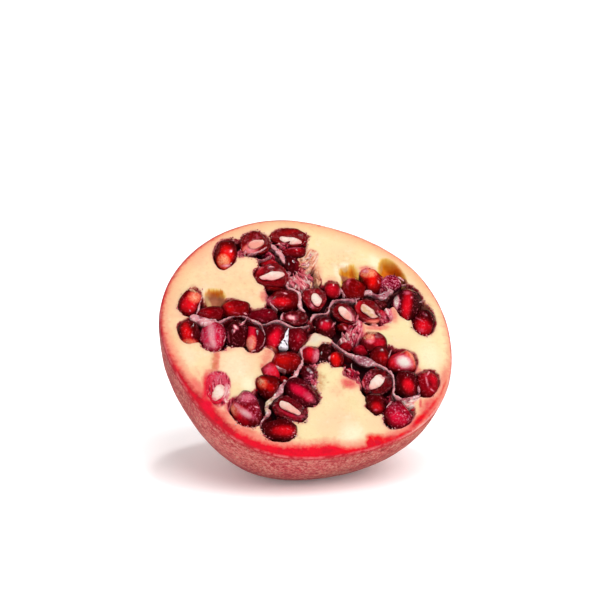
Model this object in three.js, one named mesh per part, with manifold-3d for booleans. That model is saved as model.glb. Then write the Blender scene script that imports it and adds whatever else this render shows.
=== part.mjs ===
// Half a pomegranate, cut across its middle and resting on its rind with the cut face tilted up.
// The husk is rind, pith and membranes grown as one piece. Arils sit in its sockets, and where
// the knife went through an aril its seed shows. A short cut stem is left at the stem end.
// Millimetres, +Z up, with the origin in the middle of the flat spot that the half rests on.

import Module from 'manifold-3d';
import * as THREE from 'three';
import { mergeVertices } from 'three/addons/utils/BufferGeometryUtils.js';

const wasm = await Module();
wasm.setup();
const { Manifold, Mesh: SolidMesh } = wasm;

// The half fruit. The cut face is its frame: X to the right, Y up the face, Z out of the face.
const faceRadius = 44;
const halfDepth = 46; // from the cut face to the stem end
const faceTilt = 47; // degrees that the face's outward normal rises above the table
const faceHeight = 42.2; // middle of the cut face above the table
const faceForward = 2; // middle of the cut face in front of the resting spot
const rimLobes = [ // lobes around the rim, their height, and the angle of one crest
  { count: 2, height: 0.6, crest: -37 },
  { count: 3, height: 0.5, crest: 0 },
  { count: 4, height: 0.4, crest: -35 },
  { count: 5, height: 0.5, crest: 26 },
];
const domeSides = 56;
const domeRings = 11;

// The stem end, a shallow dimple with a flat floor that the stem stands on.
const dimpleRadius = 8;
const dimpleDepth = 1.8;
const dimpleFloorRadius = 3.4;
const stemRadius = 2.3;
const stemLength = 5.5;
const stemFlare = 0.5; // how much wider the stem is at its foot
const stemWaist = [0.4, 0.8]; // where the stem's straight waist starts and ends, to its length
const stemSides = 14;

// Arils and sockets.
const gap = 0.3; // between one piece and the next
const membrane = 0.6; // husk left standing between two chambers
const arilSides = 9;
const arilRings = 6;
const footTaper = 0.25; // how much narrower an aril is at its foot, and broader at its top
const wholeRise = 0.33; // how far a whole aril stands out of the face, to its thickness
const cutDepth = 0.15; // how deep a cut aril's middle lies, to its thickness
const thicknessRatio = 0.95; // an aril's thickness to its width
const socketMouth = 6; // how far the sockets' straight mouths go on above the arils' middles
const mouthStart = 0.01; // height above a drop's middle, to its half thickness, where a mouth opens
const sameCorner = 1e-4; // corners nearer than this are one

// Each aril: middle on the face (x, y), length, width, and the degrees that its broad end leans
// to the right of straight up the face. A cut aril shows a seed, with the same five measures
// taken from the aril's middle, or is only cut.
const whole = (x, y, length, width, lean) => ({ x, y, length, width, lean, cut: false });
const cut = (x, y, length, width, lean, seed) => ({ x, y, length, width, lean, cut: true, seed });
const seedAt = (x, y, length, width, lean) => ({ x, y, length, width, lean });

const chambers = {
  upper_left: [
    whole(-20.5, 30.5, 11.3, 6.8, 15),
    cut(-11, 34.5, 9.5, 8.5, 70, seedAt(0.5, 0, 5, 3.5, 60)),
    whole(-34, 13.5, 10, 6.8, 25),
    cut(-7.5, 22, 10.2, 8.8, 85, seedAt(0, 0, 7.5, 3, 82)),
    whole(-5.5, 13, 10, 7.2, 90),
    whole(-28, 9, 7.5, 4.5, 90),
    whole(-20.5, 10.5, 8, 6, 85),
    whole(-12.5, 7.5, 7.5, 4.5, 90),
    cut(-3, 6, 8.5, 5.3, 95),
  ],
  upper_right: [
    cut(0, 36.5, 11.5, 7, 98, seedAt(0.5, -1, 7.2, 2.8, 104)),
    whole(1, 31, 6.5, 3.5, 90),
    whole(-0.5, 26, 5.5, 4, 0),
    cut(4.5, 12.5, 8.5, 7.5, 0, seedAt(0.4, -0.3, 4.5, 3.5, 0)),
    whole(10.5, 16, 5.5, 5, 0),
    whole(17, 16, 7, 6.5, 80),
    whole(23.5, 19, 8, 6, 10),
    whole(29, 17.5, 6.5, 5.5, 80),
  ],
  right: [
    whole(33, 9.5, 12, 8.8, 5),
    whole(37, 2, 10, 7, 5),
    cut(20.5, 7, 9, 8, -30, seedAt(0, 0, 6.2, 3.2, -35)),
    cut(13, 6.5, 8.5, 6.5, -35, seedAt(0, 0, 5.8, 3, -35)),
    whole(6, 2, 6.8, 6.8, 0),
    whole(19.5, -4, 7.5, 6, 90),
    whole(21, -9.5, 6.5, 5.5, 0),
    whole(27, -11.5, 9.3, 7.5, 90),
    whole(27, -20, 9.5, 7.5, 0),
    whole(33.5, -20, 10, 7, 10),
  ],
  bottom: [
    whole(-0.5, -7.5, 6.2, 5.8, 0),
    whole(4, -7, 5.5, 3.5, 10),
    whole(7, -10, 5.5, 5, 0),
    whole(-2, -14.5, 7.5, 5.5, 0),
    cut(18, -19, 10.5, 9, 40, seedAt(-0.2, 0.2, 6.5, 3.4, 50)),
    whole(16.5, -26, 7.5, 6.5, 0),
    whole(22.5, -30.5, 9.8, 9, 0),
    whole(-5, -21, 12, 7.5, -40),
    cut(-9.5, -26.5, 10.8, 7.8, -56, seedAt(0, 0.3, 7.2, 2.8, -56)),
    whole(-14, -33, 10.5, 8.2, 90),
  ],
  left: [
    whole(-35.5, 2.5, 8.7, 7, 10),
    whole(-28.5, 0.5, 10, 7.6, 10),
    whole(-21.5, 1, 10, 6.7, 5),
    whole(-16, -1, 9.5, 6, 5),
    cut(-30, -18, 11, 6.5, 10, seedAt(0, -1.5, 6, 3.8, 5)),
    whole(-22, -25.5, 12.5, 9, -10),
    whole(-10, -1, 9.5, 6.7, 10),
    whole(-3.5, -2, 8.5, 5.8, 10),
    whole(-8.5, -9.5, 9.3, 7, 90),
    whole(-13, -13, 6.5, 5.5, 0),
    whole(-14.5, -18, 7.5, 7, 0),
  ],
};

// Sockets whose arils have fallen out.
const emptySockets = [
  whole(-26, 15.5, 6.5, 5, 90),
  whole(17, 22.5, 6, 5, 0),
  whole(30.5, 23.5, 8, 7.5, 0),
];

const radians = THREE.MathUtils.degToRad;

function toSolid(geometry) {
  const shape = geometry.clone();
  shape.deleteAttribute('normal');
  shape.deleteAttribute('uv');
  const merged = mergeVertices(shape, sameCorner);
  const corners = merged.index.array;
  const triangles = [];
  for (let i = 0; i < corners.length; i += 3) {
    const [a, b, c] = corners.subarray(i, i + 3);
    if (a !== b && b !== c && c !== a) triangles.push(a, b, c);
  }
  return new Manifold(new SolidMesh({
    numProp: 3,
    vertProperties: new Float32Array(merged.attributes.position.array),
    triVerts: new Uint32Array(triangles),
  }));
}

function toGeometry(solid) {
  const mesh = solid.getMesh();
  const geometry = new THREE.BufferGeometry();
  geometry.setAttribute('position', new THREE.BufferAttribute(mesh.vertProperties, 3));
  geometry.setIndex(new THREE.BufferAttribute(mesh.triVerts, 1));
  geometry.computeVertexNormals();
  return geometry;
}

// Moves every vertex of a geometry with a function that changes a point in place.
function reshape(geometry, move) {
  const places = geometry.attributes.position;
  const point = new THREE.Vector3();
  for (let i = 0; i < places.count; i += 1) {
    move(point.fromBufferAttribute(places, i));
    places.setXYZ(i, point.x, point.y, point.z);
  }
  return geometry;
}

function rimSwell(angle) {
  const swells = rimLobes.map((lobe) => (
    lobe.height * Math.cos(lobe.count * (angle - radians(lobe.crest)))
  ));
  return 1 + swells.reduce((sum, swell) => sum + swell, 0) / faceRadius;
}

// The half fruit before its sockets are made, its face flat on Z = 0, stem end at the bottom.
function halfFruit() {
  const profile = [new THREE.Vector2(0, -halfDepth + dimpleDepth)];
  const firstAngle = Math.acos(dimpleRadius / faceRadius);
  profile.push(new THREE.Vector2(dimpleFloorRadius, -halfDepth + dimpleDepth));
  for (let ring = 0; ring <= domeRings; ring += 1) {
    const angle = firstAngle * (1 - ring / domeRings);
    profile.push(new THREE.Vector2(faceRadius * Math.cos(angle), -halfDepth * Math.sin(angle)));
  }
  profile.push(new THREE.Vector2(0, 0));
  const geometry = new THREE.LatheGeometry(profile, domeSides);
  geometry.rotateX(Math.PI / 2);
  return toSolid(reshape(geometry, (point) => {
    const swell = rimSwell(Math.atan2(point.y, point.x));
    const inRim = Math.hypot(point.x, point.y) / faceRadius;
    const scale = 1 + (swell - 1) * inRim;
    point.x *= scale;
    point.y *= scale;
  }));
}

function thicknessOf(piece) {
  return piece.width * thicknessRatio;
}

function middleOf(piece) {
  const depth = thicknessOf(piece) * (piece.cut ? cutDepth : 0.5 - wholeRise);
  return new THREE.Vector3(piece.x, piece.y, -depth);
}

// A drop with a narrow foot, larger all round by `extra`. Its upper half can be drawn out
// of the face by `mouth`, which opens a socket.
function drop(piece, middle, extra, mouth = 0) {
  const halfThickness = thicknessOf(piece) / 2 + extra;
  const geometry = new THREE.SphereGeometry(1, arilSides, arilRings);
  reshape(geometry, (point) => {
    const taper = 1 + footTaper * point.y;
    point.x *= taper;
    point.z *= taper;
    if (point.z > mouthStart) point.z += mouth / halfThickness;
  });
  geometry.scale(piece.width / 2 + extra, piece.length / 2 + extra, halfThickness);
  geometry.rotateZ(-radians(piece.lean));
  geometry.translate(middle.x, middle.y, middle.z);
  return toSolid(geometry);
}

// How far a drop reaches from its middle towards a direction along the face.
function reach(piece, direction) {
  const turned = Math.atan2(direction.x, direction.y) - radians(piece.lean);
  const across = Math.sin(turned) / (piece.width / 2);
  const along = Math.cos(turned) / (piece.length / 2);
  return 1 / Math.hypot(across, along);
}

// Arils press flat against each other. This trims a piece's solid by a plane between it and
// every neighbour near enough to touch, `clear` short of that plane.
function trim(solid, piece, neighbours, clear) {
  const middle = middleOf(piece);
  let trimmed = solid;
  for (const other of neighbours) {
    const away = middleOf(other).sub(middle);
    const distance = away.length();
    if (distance > (piece.length + other.length) / 2 + membrane) continue;
    const toward = away.clone().normalize();
    const mine = reach(piece, toward);
    const theirs = reach(other, toward.clone().negate());
    const keep = distance * mine / (mine + theirs) - clear;
    const inward = toward.clone().negate();
    trimmed = trimmed.trimByPlane(inward.toArray(), inward.dot(middle) - keep);
  }
  return trimmed;
}

function meshOf(name, solid, material) {
  const mesh = new THREE.Mesh(toGeometry(solid), new THREE.MeshStandardMaterial(material));
  mesh.name = name;
  return mesh;
}

const arils = Object.entries(chambers).flatMap(([chamber, members]) => (
  members.map((aril, index) => ({ ...aril, chamber, name: `${chamber}_${index + 1}` }))
));

const huskLook = { color: 0xc8323c, roughness: 0.45, metalness: 0 };
const wholeLook = { color: 0xb00818, roughness: 0.12, metalness: 0 };
const cutLook = { color: 0xd06068, roughness: 0.2, metalness: 0 };
const seedLook = { color: 0xf4dcc8, roughness: 0.35, metalness: 0 };
const stemLook = { color: 0x8a7448, roughness: 0.8, metalness: 0 };

function chamberMatesOf(piece) {
  return arils.filter((other) => other.chamber === piece.chamber && other.name !== piece.name);
}

function arilsBeyondMembranes(piece) {
  return arils.filter((other) => other.chamber !== piece.chamber);
}

// The cut face's frame, which the arils and seeds are placed in.
const face = new THREE.Group();
face.position.set(0, -faceForward, faceHeight);
face.rotation.x = Math.PI / 2 - radians(faceTilt);

function husk() {
  let solid = halfFruit();
  for (const piece of [...arils, ...emptySockets]) {
    const socket = drop(piece, middleOf(piece), gap, socketMouth);
    solid = solid.subtract(trim(socket, piece, arilsBeyondMembranes(piece), membrane / 2));
  }
  face.updateMatrix();
  return solid.transform(face.matrix.elements).trimByPlane([0, 0, 1], 0);
}

function seedOf(aril) {
  return { ...aril.seed, x: aril.x + aril.seed.x, y: aril.y + aril.seed.y };
}

function arilMesh(aril) {
  const middle = middleOf(aril);
  let solid = drop(aril, middle, 0);
  solid = trim(solid, aril, chamberMatesOf(aril), gap / 2);
  solid = trim(solid, aril, arilsBeyondMembranes(aril), membrane / 2 + gap);
  if (aril.cut) solid = solid.trimByPlane([0, 0, -1], 0);
  if (aril.seed) {
    const seed = seedOf(aril);
    solid = solid.subtract(drop(seed, new THREE.Vector3(seed.x, seed.y, 0), gap));
  }
  const centred = solid.translate(-middle.x, -middle.y, -middle.z);
  const mesh = meshOf(`aril_${aril.name}`, centred, aril.cut ? cutLook : wholeLook);
  mesh.position.copy(middle);
  return mesh;
}

function seedMesh(aril) {
  const seed = seedOf(aril);
  const solid = drop(seed, new THREE.Vector3(), 0).trimByPlane([0, 0, -1], 0);
  const mesh = meshOf(`seed_${aril.name}`, solid, seedLook);
  mesh.position.set(seed.x, seed.y, 0);
  return mesh;
}

function stemMesh() {
  const [waistStart, waistEnd] = stemWaist;
  const profile = [
    new THREE.Vector2(0, 0),
    new THREE.Vector2(stemRadius + stemFlare, 0),
    new THREE.Vector2(stemRadius, stemLength * waistStart),
    new THREE.Vector2(stemRadius, stemLength * waistEnd),
    new THREE.Vector2(stemRadius + stemFlare / 2, stemLength),
    new THREE.Vector2(0, stemLength),
  ];
  const geometry = new THREE.LatheGeometry(profile, stemSides);
  geometry.rotateX(-Math.PI / 2);
  const mesh = meshOf('stem_stub', toSolid(geometry), stemLook);
  mesh.position.z = -halfDepth + dimpleDepth - gap;
  return mesh;
}

const pomegranate = new THREE.Group();
pomegranate.add(meshOf('husk', husk(), huskLook), face);
face.add(stemMesh());
for (const aril of arils) {
  face.add(arilMesh(aril));
  if (aril.seed) face.add(seedMesh(aril));
}

export default pomegranate;
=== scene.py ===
import math
import bmesh
import bpy
import numpy as np
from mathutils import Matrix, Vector


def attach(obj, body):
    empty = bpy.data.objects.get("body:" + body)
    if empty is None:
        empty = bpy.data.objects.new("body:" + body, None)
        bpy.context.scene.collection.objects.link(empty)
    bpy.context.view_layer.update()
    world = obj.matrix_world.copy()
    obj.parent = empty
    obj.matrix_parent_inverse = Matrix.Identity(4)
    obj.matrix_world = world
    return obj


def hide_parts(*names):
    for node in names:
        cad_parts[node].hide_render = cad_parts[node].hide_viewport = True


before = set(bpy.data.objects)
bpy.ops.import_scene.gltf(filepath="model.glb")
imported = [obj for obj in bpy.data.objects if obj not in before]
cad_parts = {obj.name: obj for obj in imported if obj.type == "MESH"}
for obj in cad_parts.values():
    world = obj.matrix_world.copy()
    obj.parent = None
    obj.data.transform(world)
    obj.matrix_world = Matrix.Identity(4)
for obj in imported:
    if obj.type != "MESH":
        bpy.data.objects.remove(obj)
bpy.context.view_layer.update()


# --- The husk -------------------------------------------------------------------------------
# Half of the grown fruit wall: leathery rind outside, spongy cream pith inside, and a hollow
# for each chamber of arils. The knife left the face flat, stained and a little torn.
# The cut face is drawn in millimetres, x to the right, y up the face and z out of it.

FACE_TILT = math.radians(47)
FACE_MIDDLE = np.array([0.0, -2.0, 42.2])
FACE_AXES = np.array([
    [1.0, 0.0, 0.0],
    [0.0, math.sin(FACE_TILT), math.cos(FACE_TILT)],
    [0.0, -math.cos(FACE_TILT), math.sin(FACE_TILT)],
])


def from_face(points):
    """Points in the face's millimetres, as metres in the part's frame."""
    return (FACE_MIDDLE + np.asarray(points) @ FACE_AXES) / 1000


def to_face(points):
    """Points in the part's frame, in metres, as the face's millimetres."""
    return (np.asarray(points) * 1000 - FACE_MIDDLE) @ FACE_AXES.T


def step(low, high, value):
    """0 up to low, 1 from high, and smooth between. low may be the greater one."""
    t = np.clip((value - low) / (high - low), 0, 1)
    return t * t * (3 - 2 * t)


def lattice_noise(points, size, seed):
    """Smooth noise from -1 to 1 with lumps about `size` across, at points (n, 3)."""
    cells = np.random.default_rng(seed).uniform(-1, 1, (32, 32, 32))
    p = np.asarray(points) / size + 100.0
    whole = np.floor(p).astype(int)
    t = p - whole
    t = t * t * (3 - 2 * t)
    total = 0
    for corner in np.ndindex(2, 2, 2):
        index = (whole + corner) % 32
        weight = np.prod(np.where(np.array(corner) == 1, t, 1 - t), axis=1)
        total = total + weight * cells[index[:, 0], index[:, 1], index[:, 2]]
    return total


def smooth_line(corners, spacing, closed=False):
    """Points about `spacing` apart on a smooth curve through the corners."""
    corners = np.array(corners, dtype=float)
    if closed:
        padded = np.concatenate([corners[-1:], corners, corners[:2]])
    else:
        before, after = 2 * corners[0] - corners[1], 2 * corners[-1] - corners[-2]
        padded = np.concatenate([[before], corners, [after]])
    points = []
    for a, b, c, d in zip(padded, padded[1:], padded[2:], padded[3:]):
        count = max(1, round(float(np.hypot(*(c - b)[:2])) / spacing))
        for t in np.arange(count) / count:
            points.append(0.5 * (2 * b + (c - a) * t + (2 * a - 5 * b + 4 * c - d) * t ** 2
                                 + (3 * b - a - 3 * c + d) * t ** 3))
    if not closed:
        points.append(corners[-1])
    return np.array(points)


def outside(x, y, loop):
    """How far points are outside a closed line, less than 0 inside it."""
    nearest = np.full_like(x, np.inf)
    within = np.zeros(x.shape, dtype=bool)
    for (ax, ay), (bx, by) in zip(loop, np.roll(loop, -1, axis=0)):
        dx, dy = bx - ax, by - ay
        t = np.clip(((x - ax) * dx + (y - ay) * dy) / (dx * dx + dy * dy + 1e-12), 0, 1)
        nearest = np.minimum(nearest, np.hypot(x - ax - t * dx, y - ay - t * dy))
        crosses = (ay > y) != (by > y)
        level = dy if dy else 1e-12
        within ^= crosses & (x < ax + (y - ay) * dx / level)
    return np.where(within, -nearest, nearest)


def marks(x, y, spots):
    """Soft round marks: each has a middle, half width, half length, lean and strength."""
    total = np.zeros_like(x)
    for spot_x, spot_y, half_width, half_length, lean, strength in spots:
        turn = math.radians(lean)
        aside = (x - spot_x) * math.cos(turn) - (y - spot_y) * math.sin(turn)
        along = (x - spot_x) * math.sin(turn) + (y - spot_y) * math.cos(turn)
        reach = np.hypot(aside / half_width, along / half_length)
        total = np.maximum(total, strength * step(1.6, 0.15, reach))
    return total


# The rim's lobes: how many, how high in millimetres, and the angle of one crest.
FACE_RADIUS = 44.0
HALF_DEPTH = 46.0
RIM_LOBES = [(2, 0.6, -37), (3, 0.5, 0), (4, 0.4, -35), (5, 0.5, 26)]


def rim_radius(angle):
    """How far the rim is from the face's middle in each direction."""
    lobes = sum(high * np.cos(count * (angle - math.radians(crest)))
                for count, high, crest in RIM_LOBES)
    return FACE_RADIUS + lobes


# Each membrane between two chambers runs from the middle outward: x, y and width.
MEMBRANES = {
    "upper": [
        (0.6, 8, 1), (-0.6, 9.6, 1.8), (-0.3, 12, 1), (0, 14.5, 1.1), (-1.6, 16.2, 1), (-3.1, 17.6, 1),
        (-3.1, 19.8, 1.1), (-2.3, 22, 1.1), (-1.6, 24.2, 1.3), (-2.2, 26.4, 1.7), (-3, 28.6, 2.1),
        (-3.6, 30.6, 2.4), (-4.6, 32.4, 2.6), (-5.8, 34.2, 1.4)],
    "left": [
        (1, 2.9, 0.4), (-1, 2.5, 0.5), (-3.4, 2.3, 0.6), (-5.4, 3, 0.8), (-7.2, 4.4, 0.8),
        (-9.2, 4.9, 0.6), (-11.4, 4.3, 0.6), (-13, 4.2, 0.6), (-14.6, 5, 0.7), (-16.6, 6.2, 0.8),
        (-18.2, 7.2, 0.7), (-19.6, 7.4, 0.4), (-21.6, 7.4, 0.5), (-23.4, 6.9, 0.7), (-25.2, 5.9, 0.8),
        (-26.8, 5.6, 1), (-28.4, 6.4, 3), (-30.4, 7.1, 4.4), (-32.4, 7.6, 4.2), (-34.6, 8, 2.6)],
    "upper_right": [
        (1.9, 4.3, 0.4), (2.2, 5.4, 1.1), (3, 6.4, 1), (5.4, 6.8, 0.5), (7.4, 7, 0.6), (8.4, 9.4, 0.5),
        (9.8, 11.2, 0.7), (12, 11.8, 0.9), (14.6, 11.9, 1), (16.8, 11.6, 1.2), (18.4, 12.8, 1.2),
        (20.2, 13.8, 1.3), (22, 13.9, 1.6), (23.8, 13, 2.3), (25.6, 12.6, 3), (27.2, 13.4, 2.6),
        (28.8, 14.6, 1.8), (30.4, 15.6, 1), (32.4, 16.6, 0.7), (34.2, 16.9, 0.5)],
    "lower_left": [
        (-1.4, -4.4, 1), (-2.7, -5.8, 0.9), (-2.9, -7.6, 0.6), (-2.9, -9.4, 0.9), (-4, -11.9, 1.3),
        (-5.4, -13.9, 1.3), (-6.9, -15.8, 1.1), (-8.8, -17.2, 0.8), (-10.2, -18, 1.2),
        (-11.4, -19.6, 1.8), (-12.8, -21.2, 1.7), (-14.4, -22.6, 1.3), (-15.8, -24, 1.8),
        (-16.4, -25.8, 2.2), (-16.2, -27.4, 1.9), (-17.4, -28.8, 1.1), (-18.6, -30.2, 0.9),
        (-19.2, -31.6, 0.9)],
    "lower_right": [
        (6.4, -2.4, 0.9), (7.4, -4, 0.6), (8.6, -5.4, 0.6), (9.6, -6.8, 0.8), (10.6, -7.8, 0.9),
        (12.4, -9, 1.6), (14.4, -10.2, 3), (16.6, -11.3, 3.4), (18.4, -12.2, 2.2), (20.2, -13, 1),
        (21.6, -13.9, 0.8), (22.6, -15.6, 0.8), (23.2, -17.4, 0.6), (23, -19.6, 0.5),
        (22.6, -21.6, 0.7), (22.3, -23.2, 1), (23.2, -24.8, 1.3), (25, -25.4, 1.4), (27.2, -25.2, 1.3),
        (29, -24.6, 1.2), (30.2, -24, 0.8)],
}

# The pith wall of each chamber, counter-clockwise from its first membrane's outer end to its
# second's. Together with the two membranes it closes the chamber.
CHAMBERS = {
    "upper_left": ("upper", "left", [
        (-6.2, 36), (-7.2, 38), (-8.8, 39.2), (-11.2, 39.3), (-13.6, 38.4), (-14.8, 36.8), (-16, 36.2),
        (-17.2, 36.7), (-18.8, 37), (-21.3, 36.3), (-23.3, 34.2), (-24.3, 31), (-24.3, 29),
        (-23.9, 26.8), (-22.9, 25.4), (-21.6, 25.5), (-20, 26.3), (-18.6, 27.3), (-17.6, 29),
        (-17.1, 30.8), (-16, 29.9), (-14.2, 30.2), (-12.6, 29.6), (-11, 28.9), (-10.8, 27.4),
        (-11, 25.6), (-12.4, 24.6), (-12.8, 23), (-12.4, 21.4), (-11.8, 19.8), (-10.4, 18.8),
        (-10.1, 17.4), (-9.8, 15.8), (-10.4, 14.2), (-10.2, 12.8), (-10.7, 11.2), (-12, 10.1),
        (-13.8, 9.8), (-15.4, 10), (-16.4, 11.6), (-17.8, 12.5), (-19.4, 13.4), (-21, 14.1),
        (-22.6, 14), (-24, 13), (-26, 12.2), (-28.6, 12.2), (-29.8, 13.4), (-30, 15.6), (-30.6, 17.6),
        (-31.8, 18.8), (-33.2, 18), (-34.6, 16.8), (-35.8, 15.2), (-36.8, 13.4), (-37.6, 12),
        (-37.2, 10.4), (-36.2, 9), (-34.9, 8.5)]),
    "left": ("left", "lower_left", [
        (-36.2, 7.1), (-37.9, 5.9), (-38.8, 4), (-38.8, 1.6), (-38.2, -0.2), (-36.6, -1.3),
        (-34.6, -1.3), (-33, -1.2), (-32.2, -3), (-30.6, -4.4), (-28.2, -4.8), (-25.8, -4.2),
        (-24.8, -2.9), (-23, -3.4), (-21.4, -3.2), (-20, -3.6), (-19, -5.2), (-17.2, -5.6), (-15.2, -5),
        (-13.8, -4), (-12.4, -4.2), (-11.4, -5.4), (-10.9, -7), (-11.6, -8.8), (-13.4, -10.2),
        (-14.9, -12.2), (-15.2, -14.2), (-16.8, -14.7), (-18.2, -16.2), (-18.3, -18.2), (-19.4, -19.6),
        (-21, -20.3), (-23.2, -21), (-25, -21.6), (-26.6, -22.4), (-27.7, -24.2), (-27.4, -26.6),
        (-26.2, -29.2), (-24, -31.2), (-21.6, -31.8), (-19.8, -31.4)]),
    "bottom": ("lower_left", "lower_right", [
        (-19, -33), (-18.4, -35.2), (-16.6, -36.7), (-14, -37.3), (-11.4, -37), (-9.8, -35.8),
        (-9.2, -33.8), (-9.8, -32), (-9.8, -30.6), (-8.4, -30.6), (-6.4, -30.7), (-5.4, -29.2),
        (-4.6, -27.2), (-4.6, -25.6), (-3.2, -25.9), (-1.6, -25.4), (-0.4, -23.8), (-0.2, -21.6),
        (-0.6, -19.6), (-0.1, -17.4), (0.3, -15), (0.4, -12.6), (1, -11.2), (2, -10.3), (3, -10.2),
        (4.6, -10.4), (5.2, -11.4), (6.6, -12.4), (8.2, -12.2), (9.2, -13), (8.6, -14.4), (8.9, -15.8),
        (10.6, -16.8), (12.2, -17.8), (12.9, -19.4), (12.8, -21), (13.4, -22.6), (14.2, -24.6),
        (13.2, -26.8), (14.2, -28.6), (15.8, -30.1), (17.2, -29.3), (17.9, -30.4), (17.6, -32.4),
        (18.6, -34.4), (20.6, -35.1), (23, -34.6), (25.4, -33.2), (27.2, -31), (27.6, -28.6),
        (27, -26.6), (28.2, -25.6)]),
    "right": ("lower_right", "upper_right", [
        (31.2, -24.7), (33.6, -24.4), (35.6, -22.6), (36.9, -20.4), (37.3, -18), (36.9, -16.2),
        (35.6, -15.2), (33.4, -15.4), (31.6, -16.2), (30.2, -16.3), (30.6, -15), (31.3, -13.6),
        (31.9, -11.6), (31.7, -9.6), (30.4, -8.2), (28.4, -7.5), (26, -7.3), (24.8, -6.2), (23.2, -5.8),
        (22.8, -4.2), (21.6, -3.2), (21, -1.4), (19.8, -0.6), (18.4, -0.9), (17.4, -1.8), (16.8, -0.8),
        (16.4, 0.4), (16.8, 2.2), (17.6, 3.6), (18.8, 2.8), (20.6, 1.9), (22.6, 1.6), (24.4, 2.4),
        (26.2, 3.2), (27.2, 4.5), (27, 6.5), (27.6, 8.5), (28.6, 9), (29.4, 7.5), (29.6, 6.6),
        (30, 4.9), (31.4, 4.1), (33.2, 4), (33.3, 1.8), (33.8, -0.6), (35.2, -2.3), (37.2, -2.4),
        (39, -1.2), (40.2, 0.8), (40.5, 3), (40.3, 5.4), (39.4, 7.6), (38.2, 9.4), (38, 12),
        (37.2, 14.4), (35.8, 16.2)]),
    "upper_right": ("upper_right", "upper", [
        (34.2, 18.2), (32.6, 19.6), (30.6, 20.6), (28.3, 20.8), (26.3, 20.9), (25.2, 22), (23.6, 22.9),
        (21.8, 22.9), (20.4, 21.8), (19.6, 20.6), (18.2, 20.2), (16.2, 19.8), (14.8, 18.8), (14.2, 17),
        (13.8, 15.4), (13.2, 17), (12.2, 18.5), (10.6, 19.1), (9.2, 18.7), (8.2, 17.6), (7.4, 17.6),
        (7.4, 19.4), (6.9, 21.4), (6.3, 23.4), (6.5, 25.4), (7.3, 27.4), (7.9, 29.4), (7.6, 30.6),
        (6.2, 31.2), (4.8, 31.8), (5.1, 33.4), (5.6, 35.4), (6.4, 36.7), (4, 38.5), (1.6, 39.8),
        (-0.8, 40.3), (-3.3, 39.7), (-4.9, 38.2), (-5.4, 36.5)]),
}

# The lone cut aril in the lower left has a hollow of its own.
LONE_HOLLOW = [
    (-33.2, -21.6), (-33, -19), (-32.6, -16.2), (-31.8, -13.8), (-30, -12.4), (-28, -12.6),
    (-26.6, -14), (-26.4, -16.6), (-27, -19), (-27.6, -21.4), (-29, -23.6), (-31, -23.7),
    (-32.6, -22.9)]

# The membranes' inner ends leave the middle open, but for an arch of pith.
MIDDLE_HOLLOW = [(-1.4, -4.4), (-1, 0.5), (1, 2.9), (0.6, 8), (1.9, 4.3), (4.4, 1.6), (6.4, -2.4)]
MIDDLE_PITH = [
    (-3.3, -6.4), (-2.2, -4.4), (-0.8, -3.4), (0.2, -2), (1.2, -0.5), (2.2, 0.3), (3.4, 0), (4.6, -0.9),
    (5.8, -1.5), (7, -2.9), (6.6, -3.4), (5.6, -3.2), (4.6, -3), (3.6, -3.6), (2.8, -4.6), (1, -4.7),
    (-1, -4.5), (-2.2, -5.2)]

# Sockets whose arils have fallen out, seen as their outlines, and how deep each one is.
EMPTY_SOCKETS = [
    ([(-29.5, 12), (-29.3, 14.5), (-28.8, 16.6), (-27.4, 17.9), (-25.5, 18.3), (-23.7, 17.8),
      (-22.9, 16), (-23.1, 14), (-24, 11.4), (-26.6, 10.6)], 2.6),
    ([(13.7, 16.6), (13.9, 20), (13.8, 22.2), (14.8, 24.1), (16.5, 24.5), (17.6, 25.3), (19.1, 25),
      (19.8, 22.8), (19.8, 19.6), (17, 17.6)], 2.4),
    ([(25.2, 19.6), (26.2, 22.5), (27, 25.1), (28.5, 27.1), (31, 26.2), (33, 23.7), (34.1, 21),
      (34.5, 18.2), (33, 16.6), (29, 17.6)], 3.4),
]

# How far the red of the cut rind soaks in from the rim, in millimetres, by angle in degrees.
RED_EDGE = [
    (-180, 0.4), (-172, 0.8), (-166, 1.2), (-159, 1.6), (-151, 2.6), (-143, 3.5), (-135, 2.9),
    (-126, 2.6), (-114, 2.8), (-104, 3.6), (-92, 4.1), (-87, 3.4), (-83, 1.6), (-76, 1.2), (-66, 0.6),
    (-58, 0.1), (-40, -0.4), (-25, -0.5), (-10, -0.6), (20, -0.2), (45, 0.2), (70, 0.1), (100, 0.1),
    (125, 0.6), (150, 0.7), (180, 0.4)]

# Where rind juice has run onto the pith, bright red.
RED_STAINS = [
    (12.7, -37.7, 1.8, 1.9, 0, 0.85), (12.3, -39.6, 1.5, 2, 0, 1.3), (14.6, -38.3, 2.6, 2, 0, 0.9),
    (14.6, -40, 2.6, 1.5, 0, 1.3), (17.8, -38.6, 3.6, 1.4, -8, 0.8), (15, -41.2, 0.5, 6, 78, 0.8),
    (6, -41.6, 0.5, 5, 84, 0.7), (22.4, -37.2, 0.8, 4.4, 66, 0.8), (28.4, -32.4, 1, 5.2, 48, 0.8),
    (33.4, -27.6, 0.6, 3.4, 40, 0.6), (31.6, -31.4, 0.4, 4, 44, 0.5), (37.8, -22, 0.4, 3.8, 30, 0.6),
    (-33.4, -17.8, 1, 6, 12, 0.8), (-33.6, -23.4, 1.8, 2.2, 0, 1)]
# Where the cut edge of the rind is pale and pink.
PALE_LIPS = [(39.4, -18, 1.4, 7, 20, 1), (34.6, -27.4, 1.4, 8, 38, 1), (27.6, -35, 1.4, 6, 52, 0.8)]
# Where the pith stays cream right up to the rind.
CREAM_RIMS = [(42, -4, 4, 16, 0, 1.2), (-43, 6, 3, 5, 0, 0.5), (30, -28.6, 2, 2, 0, 0.4)]
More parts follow.
